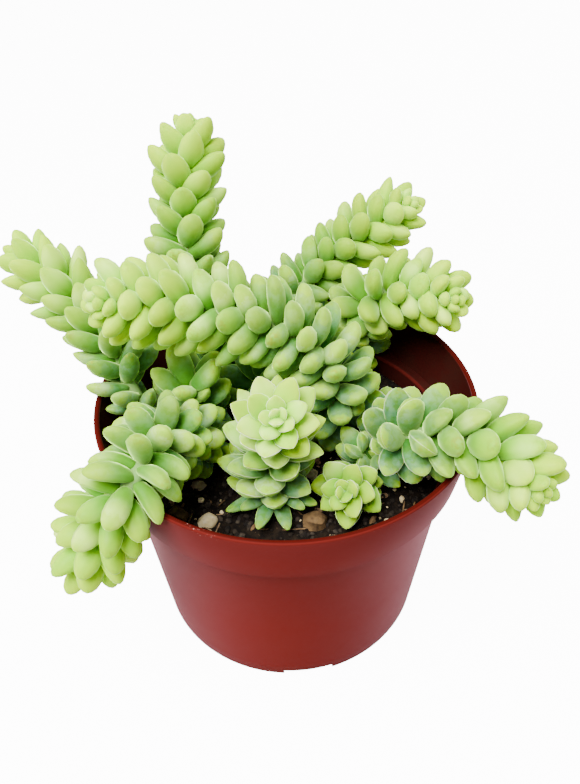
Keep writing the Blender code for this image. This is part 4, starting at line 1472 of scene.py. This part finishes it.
def place_leaf(unit, points, details, curl):
    """A copy of the leaf in its own shape, set on its stem, with its colours' values on its points."""
    copy = copied(unit)
    direction = details["direction"]
    forward = Vector(direction)
    facing = details["tangent"] + details["turned"] * details["edged"] * LIGHT_FROM
    above = Vector(facing - direction * (facing @ direction)).normalized()
    turn = np.array(Matrix((above.cross(forward), above, forward)))
    placed = shaped_leaf(points, details, curl) @ turn + details["root"]
    copy.data.vertices.foreach_set("co", (placed * MM).astype(np.float32).ravel())
    growth = np.ones((len(points), 4))
    growth[:, :3] = details["age"], details["tone"], details["spot"]
    form = np.ones((len(points), 4))
    form[:, 0] = points[:, 2]
    form[np.abs(points[:, 1]) >= ON_MIDDLE, 1] = 0.0
    form[:, 1] *= between(PALEST_BLUNT_MARGIN, 1, details["edged"])
    form[:, 2] = np.abs(points[:, 0]) / np.maximum(ON_MIDDLE, np.abs(points[:, :2]).max(axis=1))
    mark_points(copy, "growth", growth)
    mark_points(copy, "form", form)
    copy.data.update()
    return copy


# The bare stalk: its radius at the tip, over how many of its points it thins out, and how it varies
STALK_TIP = 0.35
STALK_THINNING = 6
STALK_SPREAD = 0.05


def make_stalk(name, axis, stem, material):
    """The bare stem: a tube that thins out under the growing tip."""
    curve = bpy.data.curves.new(name, "CURVE")
    curve.dimensions = "3D"
    curve.bevel_depth = stem.radius
    curve.bevel_resolution = 4
    curve.use_fill_caps = True
    points = axis[::2]
    spline = curve.splines.new("POLY")
    spline.points.add(len(points) - 1)
    draw = random.Random(RANDOM_SEED)
    for index, (target, point) in enumerate(zip(spline.points, points)):
        target.co = (*(point * MM), 1.0)
        thickness = between(STALK_TIP, 1, (len(points) - 1 - index) / STALK_THINNING)
        target.radius = min(1.0, thickness) * draw.uniform(1 - STALK_SPREAD, 1 + STALK_SPREAD)
    item = bpy.data.objects.new(name, curve)
    bpy.context.collection.objects.link(item)
    pick(item)
    bpy.ops.object.convert(target="MESH")
    item = bpy.context.object
    edit_all()
    close_mesh()
    smooth_by_angle(item, 60)
    item.data.materials.append(material)
    finish_piece(item, "leaf")


class SEDUM_OT_add_stems(Operator):
    """Grow every leafy stem, let the leaves settle, and build them"""

    bl_idname = "sedum.add_stems"
    bl_label = "Add Leafy Stems"

    def execute(self, context):
        scene = context.scene
        leaf, mix, stem = scene.sedum_leaf, scene.sedum_mix, scene.sedum_stem
        axes = {name: stem_axis(mix, place["foot"], place["path"]) for name, place in STEMS.items()}
        grown = []
        for index, (name, axis) in enumerate(axes.items()):
            grown += leaves_of_stem(index, STEMS[name], axis, leaf)
        settled = Settling(grown, axes, scene.sedum_pot, mix, stem)
        deep = settled.run()
        keep_in_frame(settled)
        for index, details in enumerate(grown):
            details["direction"] = settled.directions[index]
            details["length"] = settled.lengths[index]
            details["width"] = settled.widths[index]
        unit = model_leaf()
        points = np.array([vertex.co for vertex in unit.data.vertices])
        unit.data.materials.append(leaf_material(leaf))
        skin = stalk_material(stem)
        for number, name in enumerate(STEMS):
            copies = [place_leaf(unit, points, details, leaf.curl) for details, depth in zip(grown, deep)
                      if details["stem"] == number and depth < DEEPEST_CROSSING]
            print(name, len(copies), "leaves")
            finish_piece(join(copies, "leaves_" + name), "leaf", name)
            make_stalk("stalk_" + name, axes[name], stem, skin)
        bpy.data.objects.remove(unit)
        return {"FINISHED"}


# Lights: where each stands, how wide it is and which setting holds its power
LIGHTS = {
    "key_light": ((-0.25, -0.35, 0.9), 0.5, "key_power"),
    "left_light": ((-0.9, 0.0, 0.35), 0.6, "side_power"),
    "right_light": ((0.9, 0.1, 0.35), 0.6, "side_power"),
    "back_light": ((0.3, 0.8, 0.5), 0.6, "side_power"),
}
LIGHT_AIM = Vector((0, 0, 80 * MM))
FLOOR_RADIUS = 6.0
FLOOR_CLOUDS = (0.38, 0.38, 0.38)
SENSOR_WIDTH = 36


def add_floor(stage):
    """A pale floor that looks white to the camera."""
    deselect_all()
    bpy.ops.mesh.primitive_circle_add(vertices=64, radius=FLOOR_RADIUS, fill_type="NGON")
    floor = added("floor")
    paper = Finish("floor_paper", roughness=0.85, emission_color=WHITE)
    paper.feed("Base Color", paper.mix(paper.noise(3.0), stage.floor_color, FLOOR_CLOUDS))
    seen = paper.add("LightPath").outputs["Is Camera Ray"]
    paper.feed("Emission Strength", paper.product(seen, stage.floor_glow))
    floor.data.materials.append(paper.material)


def add_light(name, place, size, power):
    """A square soft light that faces the plant."""
    deselect_all()
    bpy.ops.object.light_add(type="AREA", location=place)
    light = added(name)
    light.data.shape = "SQUARE"
    light.data.size = size
    light.data.energy = power
    light.rotation_euler = (LIGHT_AIM - Vector(place)).to_track_quat("-Z", "Y").to_euler()


def add_surroundings(stage):
    """White surroundings that look as bright as the floor and light the plant softly."""
    world = bpy.data.worlds.new("surroundings")
    world.use_nodes = True
    sky = Nodes(world.node_tree)
    background = world.node_tree.nodes["Background"]
    background.inputs["Color"].default_value = WHITE
    seen = sky.add("LightPath").outputs["Is Camera Ray"]
    strength = sky.even_span(seen, 0.0, 1.0, stage.sky_strength, stage.floor_glow)
    sky.put(strength, background.inputs["Strength"])
    return world


def add_camera(stage, rim):
    """The camera, in front of the pot and looking down at the middle of its rim."""
    back = Vector((0, -math.cos(stage.elevation), math.sin(stage.elevation)))
    deselect_all()
    bpy.ops.object.camera_add(location=rim + back * stage.distance)
    camera = bpy.context.object
    camera.data.sensor_width = SENSOR_WIDTH
    camera.data.lens = stage.lens
    camera.data.clip_start = 10 * MM
    turn = Matrix.Rotation(math.pi / 2 - stage.elevation, 3, "X")
    for angle, axis in ((stage.yaw, "Y"), (stage.pitch, "X"), (stage.roll, "Z")):
        turn = turn @ Matrix.Rotation(-angle, 3, axis)
    camera.rotation_euler = turn.to_euler()
    return camera


class SEDUM_OT_add_stage(Operator):
    """Lay a pale floor, set soft lights and place the camera"""

    bl_idname = "sedum.add_stage"
    bl_label = "Add Stage"

    def execute(self, context):
        scene = context.scene
        stage = scene.sedum_stage
        add_floor(stage)
        for name, (place, size, power) in LIGHTS.items():
            add_light(name, place, size, getattr(stage, power))
        scene.world = add_surroundings(stage)
        scene.camera = add_camera(stage, Vector((0, 0, scene.sedum_pot.height)))
        return {"FINISHED"}


OPERATORS = (
    SEDUM_OT_add_pot,
    SEDUM_OT_add_mix,
    SEDUM_OT_add_grit,
    SEDUM_OT_add_stems,
    SEDUM_OT_add_stage,
)
SETTINGS = {
    "sedum_pot": PotSettings,
    "sedum_mix": MixSettings,
    "sedum_leaf": LeafSettings,
    "sedum_stem": StemSettings,
    "sedum_stage": StageSettings,
}


class SEDUM_PT_panel(Panel):
    """Buttons for every group of pieces, in the order that they are made"""

    bl_label = "Potted Sedum"
    bl_idname = "SEDUM_PT_panel"
    bl_space_type = "VIEW_3D"
    bl_region_type = "UI"
    bl_category = "Sedum"

    def draw(self, context):
        for operator in OPERATORS:
            self.layout.operator(operator.bl_idname)
        for name, kind in SETTINGS.items():
            box = self.layout.box()
            for label in kind.__annotations__:
                box.prop(getattr(context.scene, name), label)


def register():
    for kind in (*SETTINGS.values(), *OPERATORS, SEDUM_PT_panel):
        bpy.utils.register_class(kind)
    for name, kind in SETTINGS.items():
        setattr(bpy.types.Scene, name, PointerProperty(type=kind))


def unregister():
    for name in SETTINGS:
        delattr(bpy.types.Scene, name)
    for kind in reversed((*SETTINGS.values(), *OPERATORS, SEDUM_PT_panel)):
        bpy.utils.unregister_class(kind)


def main():
    register()
    build_mottle_group()
    build_grain_group()
    bpy.ops.sedum.add_pot()
    bpy.ops.sedum.add_mix()
    bpy.ops.sedum.add_grit()
    bpy.ops.sedum.add_stems()
    bpy.ops.sedum.add_stage()


if __name__ == "__main__":
    main()
